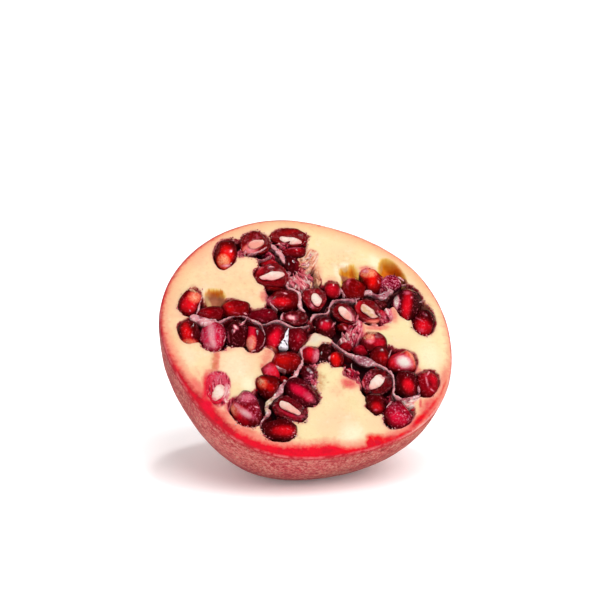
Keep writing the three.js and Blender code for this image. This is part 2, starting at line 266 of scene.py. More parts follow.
# The arch of pith in the middle is pale and grey.
GREY_PARTS = [
    (1.6, -1.6, 3.4, 2.4, 0, 0.9), (5, -2.4, 2.6, 1.4, -30, 0.7), (-1.6, -5.2, 1.6, 1.4, 0, 0.6)]

# Stains that juice and bruises left in the pith, and its palest spots; in the empty sockets
# these are partly a painted highlight.
PINK_STAINS = [
    (-26, 20, 16, 20, 0, 0.24), (-38, -4, 5, 14, 0, 0.18), (-24, -9, 8, 5, 0, 0.16),
    (-28, 30, 5, 8, 45, 0.3), (-28.4, -5.8, 1.2, 3.4, 8, 1), (-29.3, -9.6, 1.3, 4.4, 10, 1),
    (-31.4, -15.6, 3.4, 5.4, 10, 1.3), (-35.6, -17, 2.6, 5, -25, 1), (-31.5, -22.5, 3.4, 3.2, 0, 1.1),
    (-29.4, -26.9, 2.2, 5, -32, 0.7), (-23.4, -33, 2.2, 6.4, -52, 0.8),
    (-14.6, -37.9, 1.6, 7, -76, 0.7), (-13.6, -8, 2.2, 4.4, 20, 0.66), (-14.8, -11.6, 1.6, 2.6, 0, 1),
    (-11, 14.6, 1.6, 2.4, 0, 0.9), (-15.8, 30.6, 1.8, 1.8, 0, 0.9), (-7.5, 33.5, 1.6, 3, 10, 0.3),
    (9.6, -18.4, 3.2, 2.4, 10, 1.1), (27.6, 5.6, 2, 3.8, 0, 0.9), (22, 1.2, 4.8, 1.5, 0, 1),
    (17, 1, 1.5, 4, 0, 1), (29.9, -26.8, 0.6, 2.4, 12, 1.1), (26.8, -28, 1.8, 2.2, 0, 0.6),
    (31, -15, 1.6, 1.4, 0, 1), (32.6, -28, 3.2, 6.6, 40, 1), (25.6, -34.6, 2.8, 6.6, 55, 1),
    (20, -38, 2.6, 5.6, 70, 1), (38.4, -19, 1.6, 6.6, 22, 0.8), (36.6, -23.4, 2.2, 4, 30, 0.7),
    (10.6, 20, 2.6, 1.4, 0, 0.5), (22.6, 23.4, 2.6, 1.4, 0, 0.9), (-37.5, 8.8, 3.2, 1.2, 0, 0.4),
    (-25.4, -4.4, 2.4, 1.2, 0, 0.6), (0.4, -11, 2.4, 1.6, 0, 0.8), (5.6, -20.6, 2.4, 2.4, 0, 0.4),
    (-34.6, -12.4, 2, 3.2, -20, 0.5), (-12.2, -5.4, 1.6, 1.8, 0, 0.6), (-17.4, -5.8, 2.4, 0.8, 0, 0.6),
    (7.6, 23, 1.2, 4.4, 0, 0.5), (-28.2, -25.4, 1.2, 3.6, -8, 0.9), (-9, -30.4, 3, 1.6, 0, 0.5),
    (33.6, 3, 0.9, 2.4, 0, 0.6), (-6.4, 36, 0.9, 2.4, 0, 0.6)]
PALE_SPOTS = [
    (-20.6, -16.8, 2.2, 3, 0, 0.8), (36.2, -11, 4, 6, 0, 0.6), (7.4, -36.4, 3.4, 4, 0, 0.8),
    (13.2, 22.6, 1, 3, 0, 0.8), (-23.4, -10.8, 4.6, 5.2, 0, 0.5), (-37, -6, 2.4, 3.6, 0, 0.5),
    (27.4, 7, 0.8, 1.6, 0, 0.6), (-28, 17, 3, 2, 0, 0.7), (25.6, 26, 1.6, 3, 0, 0.7),
    (-28.6, -22.6, 0.5, 6, 22, 1), (16, 24.6, 1.8, 1.5, -20, 1.3), (28, 24.4, 1, 3.4, 24, 0.8),
    (-28, 14.2, 1.8, 3.4, -8, 0.92)]
BRUISES = [
    (1.2, -15.4, 0.9, 1.4, 15, 0.8), (3.3, -17.7, 0.4, 0.4, 0, 0.9), (0.8, -18.4, 1.3, 2.6, 10, 0.9),
    (2.2, -15.6, 0.7, 1.8, -20, 0.8), (9.3, -18.2, 0.3, 0.3, 0, 1), (7.8, -19.6, 0.4, 0.8, 20, 0.8),
    (-29.6, -9, 1.1, 5, 10, 0.7), (39.2, 8.6, 0.9, 1.6, -35, 0.8), (-32, 18.6, 1.5, 0.9, 60, 0.7),
    (-9, -34.6, 0.5, 1.2, 0, 0.6), (-8.2, -36.4, 0.6, 0.4, 0, 0.6), (6.9, 22, 0.8, 3, 0, 0.8),
    (6.6, 36.8, 0.7, 0.6, 0, 0.8), (19.8, -0.9, 2, 0.6, 0, 0.7), (27.4, -30, 0.6, 1.6, 20, 0.4),
    (-22.4, -33, 0.4, 1.2, -40, 0.5)]
# Where the gold of an empty socket turns tan, and where it is deepest.
TAN_PARTS = [
    (-26.4, 13.1, 3.8, 3.6, 0, 1.3), (15.8, 20.4, 2.4, 2.2, 0, 0.9), (33.8, 18.2, 1, 1.6, 0, 0.8)]
DEEP_PARTS = [
    (31.2, 21.8, 3, 3.8, -30, 1.2), (18.2, 22.6, 0.8, 1.8, 0, 0.6), (-26, 17, 3.4, 0.7, 0, 0.9)]

# Cut pulp that lines the hollows: middle, half width, half length, lean of its strands,
# strength, paleness and how tan it is.
PULP_PATCHES = [
    (5, 28, 3.2, 5.4, 38, 1.5, 0.78, 0.75), (3, 25.4, 1.4, 4, 30, 1.6, 0.5, 0.2),
    (1.4, 20, 4.4, 3.8, -20, 1, 0.66, 0.1), (6.6, 21, 0.9, 3.6, 5, 1, 0.55, 0.9),
    (14.6, 0.4, 2.6, 5.6, 28, 1.2, 0.6, 0), (11.4, -2.2, 2.2, 1.4, -20, 1, 0.9, 0),
    (29, 17.8, 4.2, 2.8, -30, 1, 0.42, 0), (24.6, 5, 2.2, 2.8, -20, 1, 0.42, 0),
    (26.6, 6.6, 1, 2.6, -10, 1, 0.8, 0), (11.4, -15.4, 2.2, 3, -20, 1, 0.4, 0),
    (12.4, -18.6, 1.4, 2, -30, 0.8, 0.55, 0.2), (-30.2, -17.4, 5.4, 8, 8, 1.4, 0.45, 0),
    (-27.4, -19.6, 1.2, 4, 15, 1.6, 0.85, 0.1), (-21.4, -21.8, 3.2, 1.8, -12, 1, 0.66, 0),
    (-13.8, -11.6, 2, 2.4, 30, 1, 0.6, 0), (-1, -17.4, 1, 2.8, 12, 1, 0.55, 0),
    (-15.8, 31.4, 1.4, 1.6, 20, 1, 0.55, 0), (-2, 33.6, 2.2, 1, 80, 1, 0.5, 0),
    (21.4, 2.6, 3.4, 1.2, 80, 0.9, 0.6, 0.35), (-0.2, -10.2, 2, 1.2, 60, 0.9, 0.7, 0),
    (26.4, -26.2, 1.6, 4, 84, 1.6, 1, 0.15), (-6.6, 30.6, 1.4, 2.6, -40, 0.8, 0.35, 0)]

# The cut face as a grid that is bent from a square to the rim.
GRID = 240
side = np.linspace(-1, 1, GRID)
across, up = np.meshgrid(side, side)
disc_x = across * np.sqrt(1 - up ** 2 / 2)
disc_y = up * np.sqrt(1 - across ** 2 / 2)
disc_angle = np.arctan2(disc_y, disc_x)
disc_reach = np.hypot(disc_x, disc_y)
radius_here = FACE_RADIUS + (rim_radius(disc_angle) - FACE_RADIUS) * disc_reach
face_x, face_y = disc_x * radius_here, disc_y * radius_here
from_rim = rim_radius(disc_angle) - np.hypot(face_x, face_y)
flat = np.stack([face_x, face_y, np.zeros_like(face_x)], axis=-1).reshape(-1, 3)


def ripple(size, seed):
    """Smooth noise over the cut face."""
    return lattice_noise(flat, size, seed).reshape(GRID, GRID)


# How far each point of the face is from the nearest hollow, less than 0 inside one.
to_hollow = outside(face_x, face_y, smooth_line(LONE_HOLLOW, 0.8, closed=True))
for first, second, wall in CHAMBERS.values():
    start = [corner[:2] for corner in MEMBRANES[first]]
    finish = [corner[:2] for corner in MEMBRANES[second]][::-1]
    loop = smooth_line([*start, *wall, *finish], 0.8, closed=True)
    to_hollow = np.minimum(to_hollow, outside(face_x, face_y, loop))
open_middle = outside(face_x, face_y, np.array(MIDDLE_HOLLOW))
to_hollow = np.minimum(to_hollow, open_middle)
# The arch of pith is left standing in the open middle.
arch = outside(face_x, face_y, smooth_line(MIDDLE_PITH, 0.5, closed=True))
to_hollow = np.maximum(to_hollow, 0.4 - arch)
# Every edge wavers, as soft flesh does under a knife.
warp = 0.16 * ripple(0.9, 3) + 0.2 * ripple(2.6, 4)
to_hollow = to_hollow + warp

# How far each point is from the nearest empty socket, and how deep it lies in one.
empty = np.full_like(face_x, 9.0)
empty_depth = np.zeros_like(face_x)
for corners, depth in EMPTY_SOCKETS:
    apart = outside(face_x, face_y, smooth_line(corners, 0.6, closed=True)) + warp
    empty = np.minimum(empty, apart)
    empty_depth += depth * step(0.3, -2.4, apart)

# 1 inside a hollow, and 1 well inside one.
hollow = step(0.35, -0.25, to_hollow)
deep = step(0.0, -1.3, to_hollow)
# Where two patches of pulp meet, the stronger one gives its looks and its strands' lean.
pulp, paleness, tan = (np.zeros_like(face_x) for _ in range(3))
strand_x, strand_y = face_x.copy(), face_y.copy()
for x, y, half_width, half_length, lean, strength, pale, tanned in PULP_PATCHES:
    here = marks(face_x, face_y, [(x, y, half_width, half_length, lean, strength)])
    turn = math.radians(lean)
    over = here > pulp
    pulp = np.maximum(pulp, here)
    paleness = np.where(over, pale, paleness)
    tan = np.where(over, tanned, tan)
    strand_x = np.where(over, face_x * math.cos(turn) - face_y * math.sin(turn), strand_x)
    strand_y = np.where(over, face_x * math.sin(turn) + face_y * math.cos(turn), strand_y)
strands = np.stack([strand_x, 0.3 * strand_y, 0 * face_x], axis=-1).reshape(-1, 3)
strand_bumps = lattice_noise(strands, 0.6, 21).reshape(GRID, GRID)
red_edge = np.interp(np.degrees(disc_angle), *np.array(RED_EDGE).T) - from_rim - 0.6 * warp

# How far the face sinks at a hollow's lip, and how much further inside it, in millimetres.
LIP_SINK, DEEP_SINK = 1.1, 1.9
height = 0.2 * ripple(14, 5) + 0.05 * ripple(2.6, 6)
sunk = LIP_SINK * hollow + DEEP_SINK * deep
# The pith swells a little beside a hollow, and pulp fills most of one.
height += 0.12 * step(1.4, 0.4, to_hollow) - sunk * (1 - 0.85 * step(0.2, 0.7, pulp))
height += 0.4 * strand_bumps * pulp * hollow
height -= empty_depth * (1 - deep)
# The rind's cut edge lies a little lower than the pith and is rounded at the rim.
height -= 0.15 * step(-0.5, 1.0, red_edge)
height -= 0.5 * step(0.9, 0.0, from_rim) ** 2

sheet = np.stack([face_x, face_y, height], axis=-1)

# The rind, hung from the rim in rings down to the stem end.
DOME_RINGS = 34
# How far the last ring stops short of the pole, to one ring's spacing.
POLE_GAP = 0.6
DIMPLE_RADIUS, DIMPLE_DEPTH = 8.0, 1.8
# The rind's lumps swell away from a point this far below the face.
SWELL_DEPTH = 8.0
last = GRID - 1
ring_index = np.concatenate([
    np.arange(0, last), np.arange(last, GRID * last, GRID),
    GRID * GRID - 1 - np.arange(0, last), np.arange(GRID * last, 0, -GRID),
])
ring_angle = disc_angle.reshape(-1)[ring_index]
rings = []
for ring in range(1, DOME_RINGS + 1):
    slope = math.pi / 2 * (ring / (DOME_RINGS + POLE_GAP))
    radius = FACE_RADIUS * math.cos(slope)
    lobed = radius + (rim_radius(ring_angle) - FACE_RADIUS) * math.cos(slope) ** 2
    drop = HALF_DEPTH * math.sin(slope) - DIMPLE_DEPTH * math.exp(-(radius / DIMPLE_RADIUS) ** 4)
    rings.append(np.stack([
        lobed * np.cos(ring_angle), lobed * np.sin(ring_angle), np.full_like(ring_angle, -drop),
    ], axis=1))
pole = np.array([[0.0, 0.0, -HALF_DEPTH + DIMPLE_DEPTH]])
dome = np.concatenate(rings + [pole])
away = dome - np.array([0.0, 0.0, -SWELL_DEPTH])
away /= np.linalg.norm(away, axis=1)[:, None]
lumps = 0.45 * lattice_noise(dome, 19, 7) + 0.12 * lattice_noise(dome, 5, 8)
near_rim = step(0.0, -6.0, dome[:, 2])
dome = dome + away * (lumps * near_rim)[:, None]

husk_points = from_face(np.concatenate([sheet.reshape(-1, 3), dome]))
# The rind spreads flat where the half rests, with a soft edge to the flat spot, in metres.
FLAT_EDGE, FLAT_SINK = 0.0009, 0.00008
low = husk_points[:, 2]
softened = (low + np.sqrt(low ** 2 + FLAT_EDGE ** 2)) / 2
husk_points[:, 2] = np.maximum(softened - FLAT_SINK, 0)

cell = np.arange(GRID * last).reshape(last, GRID)[:, :last].reshape(-1)
faces = np.stack([cell, cell + 1, cell + GRID + 1, cell + GRID], axis=1).tolist()
count = len(ring_index)
sheet_faces = len(faces)
previous = ring_index
for ring in range(DOME_RINGS):
    here = GRID * GRID + ring * count + np.arange(count)
    faces += np.stack([
        previous, here, np.roll(here, -1), np.roll(previous, -1),
    ], axis=1).tolist()
    previous = here
pole_index = GRID * GRID + DOME_RINGS * count
faces += [[int(a), pole_index, int(b)] for a, b in zip(previous, np.roll(previous, -1))]


def add_piece(name, points, faces, smooth=True):
    mesh = bpy.data.meshes.new(name)
    mesh.from_pydata([tuple(p) for p in points], [], faces)
    mesh.polygons.foreach_set("use_smooth", [smooth] * len(mesh.polygons))
    piece = bpy.data.objects.new(name, mesh)
    bpy.context.scene.collection.objects.link(piece)
    return piece


def keep_values(piece, **values):
    """Stores one number a vertex under each name, for the material to read."""
    for name, numbers in values.items():
        stored = piece.data.attributes.new(name, "FLOAT", "POINT")
        stored.data.foreach_set("value", np.asarray(numbers, dtype=np.float32).reshape(-1))


husk = add_piece("husk.grown", husk_points, faces)


def over_sheet(values):
    """Numbers for the cut face's points, and 0 for each of the rind's."""
    return np.concatenate([values.reshape(-1), np.zeros(len(dome))])


# The rind is dull near the cut and on its underside, and fresh and bright towards the stem.
DULL_TO, FRESH_FROM = 20.0, 36.0
sunken = np.concatenate([np.zeros(GRID * GRID), -dome[:, 2]])
dull_rind = step(FRESH_FROM, DULL_TO, sunken + 0.5 * to_face(husk_points)[:, 1])
near_cut = step(3.4, 0.4, sunken)
# Its right side is painted paler, as light from the right would make it.
pale_side = step(0.01, 0.04, husk_points[:, 0])

keep_values(husk, under=dull_rind, near_cut=near_cut, pale_side=pale_side)
on_face = dict(
    to_hollow=to_hollow, empty=empty, red_edge=red_edge, rim=from_rim, face_x=face_x, face_y=face_y,
    pulp=pulp, pulp_pale=paleness, pulp_tan=tan, strand_x=strand_x, strand_y=strand_y)
stains = dict(
    red=RED_STAINS, tan_part=TAN_PARTS, deep_part=DEEP_PARTS, cream_rim=CREAM_RIMS, grey=GREY_PARTS,
    pale_lip=PALE_LIPS, pink=PINK_STAINS, pale=PALE_SPOTS, bruise=BRUISES)
for name, spots in stains.items():
    on_face[name] = marks(face_x, face_y, spots)
for name, values in on_face.items():
    keep_values(husk, **{name: over_sheet(values)})


class Wire:
    """A socket of a shader node. Arithmetic on it adds Math nodes."""

    def __init__(self, owner, socket):
        self.owner, self.socket = owner, socket

    def math(self, operation, *values):
        return self.owner.node("ShaderNodeMath", {"operation": operation}, dict(enumerate(values)))

    def __add__(self, other):
        return self.math("ADD", self, other)

    def __sub__(self, other):
        return self.math("SUBTRACT", self, other)

    def __rsub__(self, other):
        return self.math("SUBTRACT", other, self)

    def __mul__(self, other):
        return self.math("MULTIPLY", self, other)

    __radd__, __rmul__ = __add__, __mul__

    def between(self, low, high):
        """0 at low, 1 at high and even between, held outside them. low may be the greater."""
        return self.owner.node("ShaderNodeMapRange", {}, {0: self, 1: low, 2: high})


# How bright white paper would look on the face under the studio light, 1 being screen white.
PAPER_WHITE = 1.75


def seen(red, green, blue):
    """The colour to give a surface so that it is seen as this, from 0 to 255 on a screen."""
    parts = [c / 255 for c in (red, green, blue)]
    linear = [p / 12.92 if p <= 0.04045 else ((p + 0.055) / 1.055) ** 2.4 for p in parts]
    return (*[p / PAPER_WHITE for p in linear], 1.0)


class Nodes:
    """A tree of shader nodes to add to."""

    def __init__(self, tree):
        self.nodes, self.links = tree.nodes, tree.links

    def node(self, kind, settings=None, inputs=None, output=0):
        made = self.nodes.new(kind)
        for key, value in (settings or {}).items():
            setattr(made, key, value)
        for key, value in (inputs or {}).items():
            if isinstance(value, Wire):
                self.links.new(value.socket, made.inputs[key])
            else:
                made.inputs[key].default_value = value
        return Wire(self, made.outputs[output])


class Finish(Nodes):
    """A material with one Principled shader."""

    def __init__(self, name, **constants):
        self.material = bpy.data.materials.new(name)
        self.material.use_nodes = True
        super().__init__(self.material.node_tree)
        self.shader = self.nodes["Principled BSDF"]
        for key, value in constants.items():
            self.shader.inputs[key.replace("_", " ")].default_value = value

    def value(self, name):
        """A number that was stored on the mesh."""
        return self.node("ShaderNodeAttribute", {"attribute_name": name}, output="Fac")

    def place(self):
        return self.node("ShaderNodeTexCoord", output="Object")

    def drawn_out(self, x_name, y_name, squeeze):
        """A place on the face with its y squeezed, which draws noise out into streaks."""
        parts = {0: self.value(x_name), 1: squeeze * self.value(y_name), 2: 0.0}
        return self.node("ShaderNodeCombineXYZ", {}, parts)

    def noise(self, scale, detail, roughness, place=None):
        return self.node("ShaderNodeTexNoise", {}, {
            "Vector": place or self.place(), "Scale": scale, "Detail": detail, "Roughness": roughness})

    def mix(self, factor, a, b):
        return self.node("ShaderNodeMix", {"data_type": "RGBA"}, {0: factor, 6: a, 7: b}, output=2)

    def drive(self, **wires):
        for key, wire in wires.items():
            self.links.new(wire.socket, self.shader.inputs[key.replace("_", " ")])

    def bump(self, height, distance):
        inputs = {"Height": height, "Distance": distance}
        self.drive(Normal=self.node("ShaderNodeBump", {}, inputs))


pith = Finish(
    "pith", Roughness=0.55, IOR=1.15, Subsurface_Weight=0.1, Subsurface_Scale=0.0012,
    Subsurface_Radius=(1.0, 0.6, 0.4))
fibre = pith.noise(900, 4.0, 0.6)
blotch = pith.noise(110, 3.0, 0.55)
fine = pith.noise(3200, 2.0, 0.6)
wide = pith.noise(38, 3.0, 0.6)
grainy = pith.noise(260, 4.0, 0.65)
colour = pith.mix(wide.between(0.4, 0.6), seen(250, 230, 176), seen(252, 216, 172))
colour = pith.mix(blotch.between(0.55, 0.75) * 0.4, colour, seen(238, 216, 150))
colour = pith.mix(grainy.between(0.56, 0.7) * 0.5, colour, seen(255, 240, 206))
colour = pith.mix(fibre.between(0.58, 0.72) * 0.35, colour, seen(240, 196, 152))
colour = pith.mix(pith.value("pale"), colour, seen(255, 250, 214))
colour = pith.mix(pith.value("grey") * 0.85, colour, seen(228, 214, 198))
rim = pith.value("rim") + 2.4 * (blotch - 0.5) + 1.2 * (fibre - 0.5)
warm_rim = rim.between(5.4, 0.8) * (1 - pith.value("cream_rim"))
colour = pith.mix(warm_rim * 0.8, colour, seen(246, 172, 128))
pink = pith.value("pink") + 0.5 * (blotch - 0.5) + 0.6 * (fibre - 0.5)
colour = pith.mix(pink.between(0.0, 0.7) * 0.6, colour, seen(249, 156, 128))
colour = pith.mix(pink.between(0.45, 1.15), colour, seen(234, 88, 88))

# Towards a hollow the pith is stained pink, then crimson. Further in it turns dark red and deep
# inside near black, partly juice stain and partly painted shade.
from_hollow = pith.value("to_hollow")
wet = from_hollow + 1.4 * (blotch - 0.5) + 1.4 * (fibre - 0.5)
colour = pith.mix(wet.between(1.5, 0.1) * 0.5, colour, seen(244, 176, 158))
wet = from_hollow + 1.5 * (fibre - 0.5)
crimson_lip = pith.mix(pink.between(0.3, 0.9), seen(186, 52, 66), seen(238, 92, 100))
colour = pith.mix(wet.between(0.5, 0.1), colour, crimson_lip)
wall = pith.mix(pink.between(0.4, 0.9), seen(90, 0, 10), seen(222, 58, 80))
colour = pith.mix(wet.between(0.1, -0.4), colour, wall)
deep_stain_and_shade = pith.mix(pink.between(0.6, 1.1), seen(46, 0, 8), seen(150, 10, 40))
colour = pith.mix(wet.between(-0.4, -1.2), colour, deep_stain_and_shade)

# A pale film clings to the walls in places.
clinging = blotch.between(0.5, 0.6) * fibre.between(0.4, 0.56)
clinging = clinging * from_hollow.between(0.45, 0.15) * from_hollow.between(-1.1, -0.6)
colour = pith.mix(clinging * 0.75, colour, seen(240, 144, 146))

# An empty socket is gold, in streaks that run up from its foot.
streak = pith.noise(1.6, 3.0, 0.6, pith.drawn_out("face_x", "face_y", 0.12))
# The right one is smoother than the other two.
streaky = pith.value("face_x").between(27.0, 22.0) * 0.85 + 0.15
inside = pith.value("empty") + 1.6 * (streak - 0.5) * streaky + 0.5 * (fibre - 0.5)
golden = pith.mix(inside.between(0.2, -1.5), seen(255, 212, 112), seen(255, 162, 34))
golden = pith.mix(streak.between(0.5, 0.36) * streaky * 0.5, golden, seen(196, 92, 10))
deepest = pith.value("deep_part") + 0.5 * (blotch - 0.5)
golden = pith.mix(deepest.between(0.1, 1.0), golden, seen(222, 92, 0))
tan_here = pith.value("tan_part") + 0.2 * (streak - 0.5) + 0.3 * (fibre - 0.5)
golden = pith.mix(tan_here.between(0.25, 0.6), golden, seen(182, 106, 76))
# A socket's pale marks are partly the pith's cream at its edge and partly a painted highlight.
golden = pith.mix(pith.value("pale").between(0.6, 1.0) * 0.8, golden, seen(252, 214, 150))
golden_part = inside.between(0.5, -0.3) * wet.between(-0.9, -0.1)
colour = pith.mix(golden_part, colour, golden)
brown = pith.value("bruise") * fibre.between(0.3, 0.55)
colour = pith.mix(brown * 0.85, colour, seen(204, 132, 76))

# Cut pulp in the hollows: strands from crimson to almost white.
strand = pith.noise(1.5, 4.0, 0.65, pith.drawn_out("strand_x", "strand_y", 0.28))
pallor = pith.value("pulp_pale") + 2.6 * (strand - 0.5)
mush = pith.mix(pallor.between(0.1, 0.45), seen(96, 0, 24), seen(196, 24, 62))
mush = pith.mix(pallor.between(0.4, 0.7), mush, seen(238, 122, 138))
mush = pith.mix(pallor.between(0.75, 1.05), mush, seen(254, 220, 214))
tan_mush = pith.mix(pallor.between(0.1, 0.6), seen(150, 60, 44), seen(234, 160, 116))
tan_mush = pith.mix(pallor.between(0.6, 1.0), tan_mush, seen(250, 214, 180))
mush = pith.mix(pith.value("pulp_tan"), mush, tan_mush)
mush_part = (pith.value("pulp") + 0.8 * (strand - 0.5)).between(0.2, 0.6)
mush_part = mush_part * from_hollow.between(0.9, 0.2)
colour = pith.mix(mush_part, colour, mush)

# The cut edge of the rind, and the juice that has run from it: crimson, deeper at the left.
edge = pith.value("red_edge") + 2.0 * (fibre - 0.5) + 1.0 * (blotch - 0.5)
crimson = pith.mix(grainy.between(0.46, 0.66), seen(244, 0, 38), seen(216, 0, 36))
left_side = pith.value("face_x").between(-14.0, -32.0)
crimson = pith.mix(left_side * grainy.between(0.3, 0.6), crimson, seen(190, 14, 36))
tinted = edge - 1.5 * pith.value("face_y").between(0.0, 16.0)
colour = pith.mix(tinted.between(-3.2, -0.2) * 0.85, colour, seen(244, 122, 108))
colour = pith.mix(edge.between(-0.9, 0.7), colour, crimson)
red = pith.value("red") + 0.5 * (blotch - 0.5) + 0.4 * (fibre - 0.5)
splash = pith.mix(grainy.between(0.42, 0.62), seen(242, 0, 20), seen(214, 10, 44))
splash = pith.mix(left_side * 0.8, splash, seen(236, 4, 52))
colour = pith.mix(red.between(0.1, 0.8), colour, splash)
lip = pith.value("rim") + 0.5 * (fibre - 0.5) + 1.2 * (grainy - 0.5)
lip_colour = pith.mix(grainy.between(0.44, 0.6), seen(198, 40, 54), seen(250, 128, 132))
lip_colour = pith.mix(pith.value("face_y").between(37.0, 40.0) * 0.8, lip_colour, seen(164, 92, 64))
lip_colour = pith.mix(pith.value("pale_lip"), lip_colour, seen(246, 190, 178))
colour = pith.mix(lip.between(0.7, 0.2) * 0.85, colour, lip_colour)
pith.drive(Base_Color=colour)
pith.bump(0.4 * fibre + 0.25 * fine + 0.35 * grainy, 0.0003)

rind = Finish("rind", Roughness=0.4, IOR=1.22)
grain = rind.noise(1100, 4.0, 0.7)
pores = rind.node("ShaderNodeTexVoronoi", {}, {"Vector": rind.place(), "Scale": 850.0})
patch = rind.noise(38, 4.0, 0.55)
cloud = rind.noise(140, 3.0, 0.6)
fresh = rind.mix(patch.between(0.4, 0.62), seen(212, 22, 32), seen(230, 78, 54))
fresh = rind.mix(cloud.between(0.52, 0.7) * 0.5, fresh, seen(244, 134, 66))
dull = rind.mix(cloud.between(0.35, 0.65), seen(232, 80, 90), seen(254, 136, 128))
dull = rind.mix(patch.between(0.45, 0.65) * 0.5, dull, seen(196, 66, 54))
colour = rind.mix(rind.value("under"), fresh, dull)
colour = rind.mix(grain.between(0.5, 0.36) * 0.85, colour, seen(150, 20, 32))
speck = rind.mix(rind.value("under"), seen(250, 168, 120), seen(246, 184, 164))
colour = rind.mix(grain.between(0.53, 0.63) * 0.8, colour, speck)
freckle = pores.between(0.34, 0.16) * cloud.between(0.38, 0.56)
colour = rind.mix(freckle * 0.85, colour, speck)
near_cut = rind.value("near_cut") + 0.5 * (cloud - 0.5)
colour = rind.mix(near_cut.between(0.3, 0.8) * 0.75, colour, seen(206, 26, 48))
# Painted light: the right side turns paler.
colour = rind.mix(rind.value("pale_side") * cloud.between(0.25, 0.7) * 0.75, colour, seen(255, 158, 132))
rind.drive(Base_Color=colour)
rind.drive(Roughness=0.36 + 0.2 * grain)
rind.bump(0.5 * grain + 0.5 * pores, 0.00018)

husk.data.materials.append(pith.material)
husk.data.materials.append(rind.material)
on_rind = [0] * sheet_faces + [1] * (len(faces) - sheet_faces)
husk.data.polygons.foreach_set("material_index", on_rind)
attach(husk, "root")
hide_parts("husk")


# --- The membranes --------------------------------------------------------------------------
# Thin pinkish films that part the chambers, grown on the pith and cut along their edges,
# so they stand as wavy ribbons in the wet hollows.

film = Finish("membrane", Roughness=0.3, IOR=1.22, Subsurface_Weight=0.15, Subsurface_Scale=0.001)
film_cloud = film.noise(420, 3.0, 0.6)
film_streak = film.noise(1300, 3.0, 0.7)
film_colour = film.mix(film.value("mauve"), seen(236, 158, 164), seen(170, 98, 114))
film_colour = film.mix(film.value("cream"), film_colour, seen(240, 220, 176))
film_colour = film.mix(film_streak.between(0.52, 0.64) * 0.9, film_colour, seen(254, 228, 226))
film_colour = film.mix(film_cloud.between(0.52, 0.36) * 0.8, film_colour, seen(144, 34, 60))
# Each film is painted darker towards its foot, down in the hollow, as shade.
film_foot_shade = film.value("depth") + 0.5 * (film_cloud - 0.5)
film_colour = film.mix(film_foot_shade.between(0.8, 0.3), film_colour, seen(104, 8, 30))
film.drive(Base_Color=film_colour)
film.bump(film_streak, 0.0004)

# Where the membranes are mauve and thick, and where they are creamy like the pith.
MAUVE_PARTS = [
    (15.4, -11, 4.2, 3, 0, 1), (25.2, 13.2, 4, 2.4, 0, 1), (15, 11.6, 4, 1.8, 0, 0.7),
    (29.8, -19.6, 1.6, 4.6, 0, 0.8), (-12, -20, 2.6, 2.6, 0, 0.4), (-20, 7, 3.4, 2, 0, 0.4),
    (-24.5, 5.6, 2.4, 1.4, 0, 0.5), (-13.2, 0, 1.2, 4.4, 0, 0.5), (-9, 4.6, 4, 1.4, 0, 0.4),
    (9, 10, 2, 2.4, 0, 0.5), (8.6, -5, 2, 3, 0, 0.4)]
CREAM_PARTS = [(-15.6, -24, 2.4, 2.2, 0, 1), (-17.2, -26.2, 1.2, 2, 0, 0.8)]
# Where they stand higher, in millimetres.
RAISED_PARTS = [(-6.2, -14.6, 1.6, 4.4, 41, 1)]


def roughen(points, size, high, seed):
    """Shifts the points by smooth noise along each axis in turn."""
    for axis in range(3):
        points[:, axis] += high * lattice_noise(points, size, seed + axis)


def ring_quads(rings, sides):
    """The faces between rings of points that are stored one ring after another."""
    quads = []
    for start in range(0, (rings - 1) * sides, sides):
        for j in range(sides):
            k = (j + 1) % sides
            quads.append([start + j, start + k, start + sides + k, start + sides + j])
    return quads


def join(bodies):
    """The points and faces of several bodies, as those of one."""
    points, faces, start = [], [], 0
    for body_points, body_faces in bodies:
        points.append(body_points)
        faces += [[start + corner for corner in face] for face in body_faces]
        start += len(body_points)
    return np.concatenate(points), faces


def ribbon(corners, seed, top, depth=2.4, spacing=0.35, rough=1.0, crest=(-0.2, 0.2)):
    """A closed thin wall along a line of (x, y, width): its points and faces, and how near its
    cut edge each point is."""
    line = smooth_line(corners, spacing)
    line, width = line[:, :2], line[:, 2]
    count = len(line)
    tangent = np.gradient(line, axis=0)
    tangent /= np.linalg.norm(tangent, axis=1)[:, None]
    normal = np.stack([-tangent[:, 1], tangent[:, 0]], axis=1)
    # The film sways, and thins and thickens along its line, and its ends taper.
    travel = np.stack([np.arange(count) * spacing, np.full(count, seed * 7.3),
                       np.zeros(count)], axis=1)
    sway = 0.16 * lattice_noise(travel, 2.2, 11)
    width = width * (0.8 + rough * 0.45 * lattice_noise(travel, 1.3, 12))
    rise = top + 0.3 * lattice_noise(travel, 3.4, 13) + marks(*line.T, RAISED_PARTS)
    ends = np.minimum(step(-1, 3, np.arange(count)), step(-1, 3, np.arange(count)[::-1]))
    width = width * (1 - 0.7 * rough * (1 - ends))
    tilt = 0.5 * lattice_noise(travel, 4.0, 14)
    # The section runs up one side of the film, over its cut edge and down the other.
    section = [(-0.35, 1.0), (-0.36, 0.5), (-0.5, 0.12), (-0.46, 0.03),
               *[(out, 0.0) for out in crest], (0.46, 0.03), (0.5, 0.12), (0.36, 0.5), (0.35, 1.0)]
    rows = []
    for out, fall in section:
        place = line + normal * (sway + out * width)[:, None]
        level = rise - fall * (depth + top) + tilt * out * width
        rows.append(np.concatenate([place, level[:, None]], axis=1))
    points = np.stack(rows, axis=1).reshape(-1, 3)
    roughen(points, 0.7, 0.16, 30)
    ring = len(section)
    quads = ring_quads(count, ring)
    quads.append(list(range(ring))[::-1])
    quads.append([(count - 1) * ring + j for j in range(ring)])
    heights = np.tile([1.0 - fall for _, fall in section], count)
    return points, quads, heights


def keep_film_values(piece, points, heights):
    keep_values(piece, depth=heights, mauve=marks(points[:, 0], points[:, 1], MAUVE_PARTS),
                cream=marks(points[:, 0], points[:, 1], CREAM_PARTS))


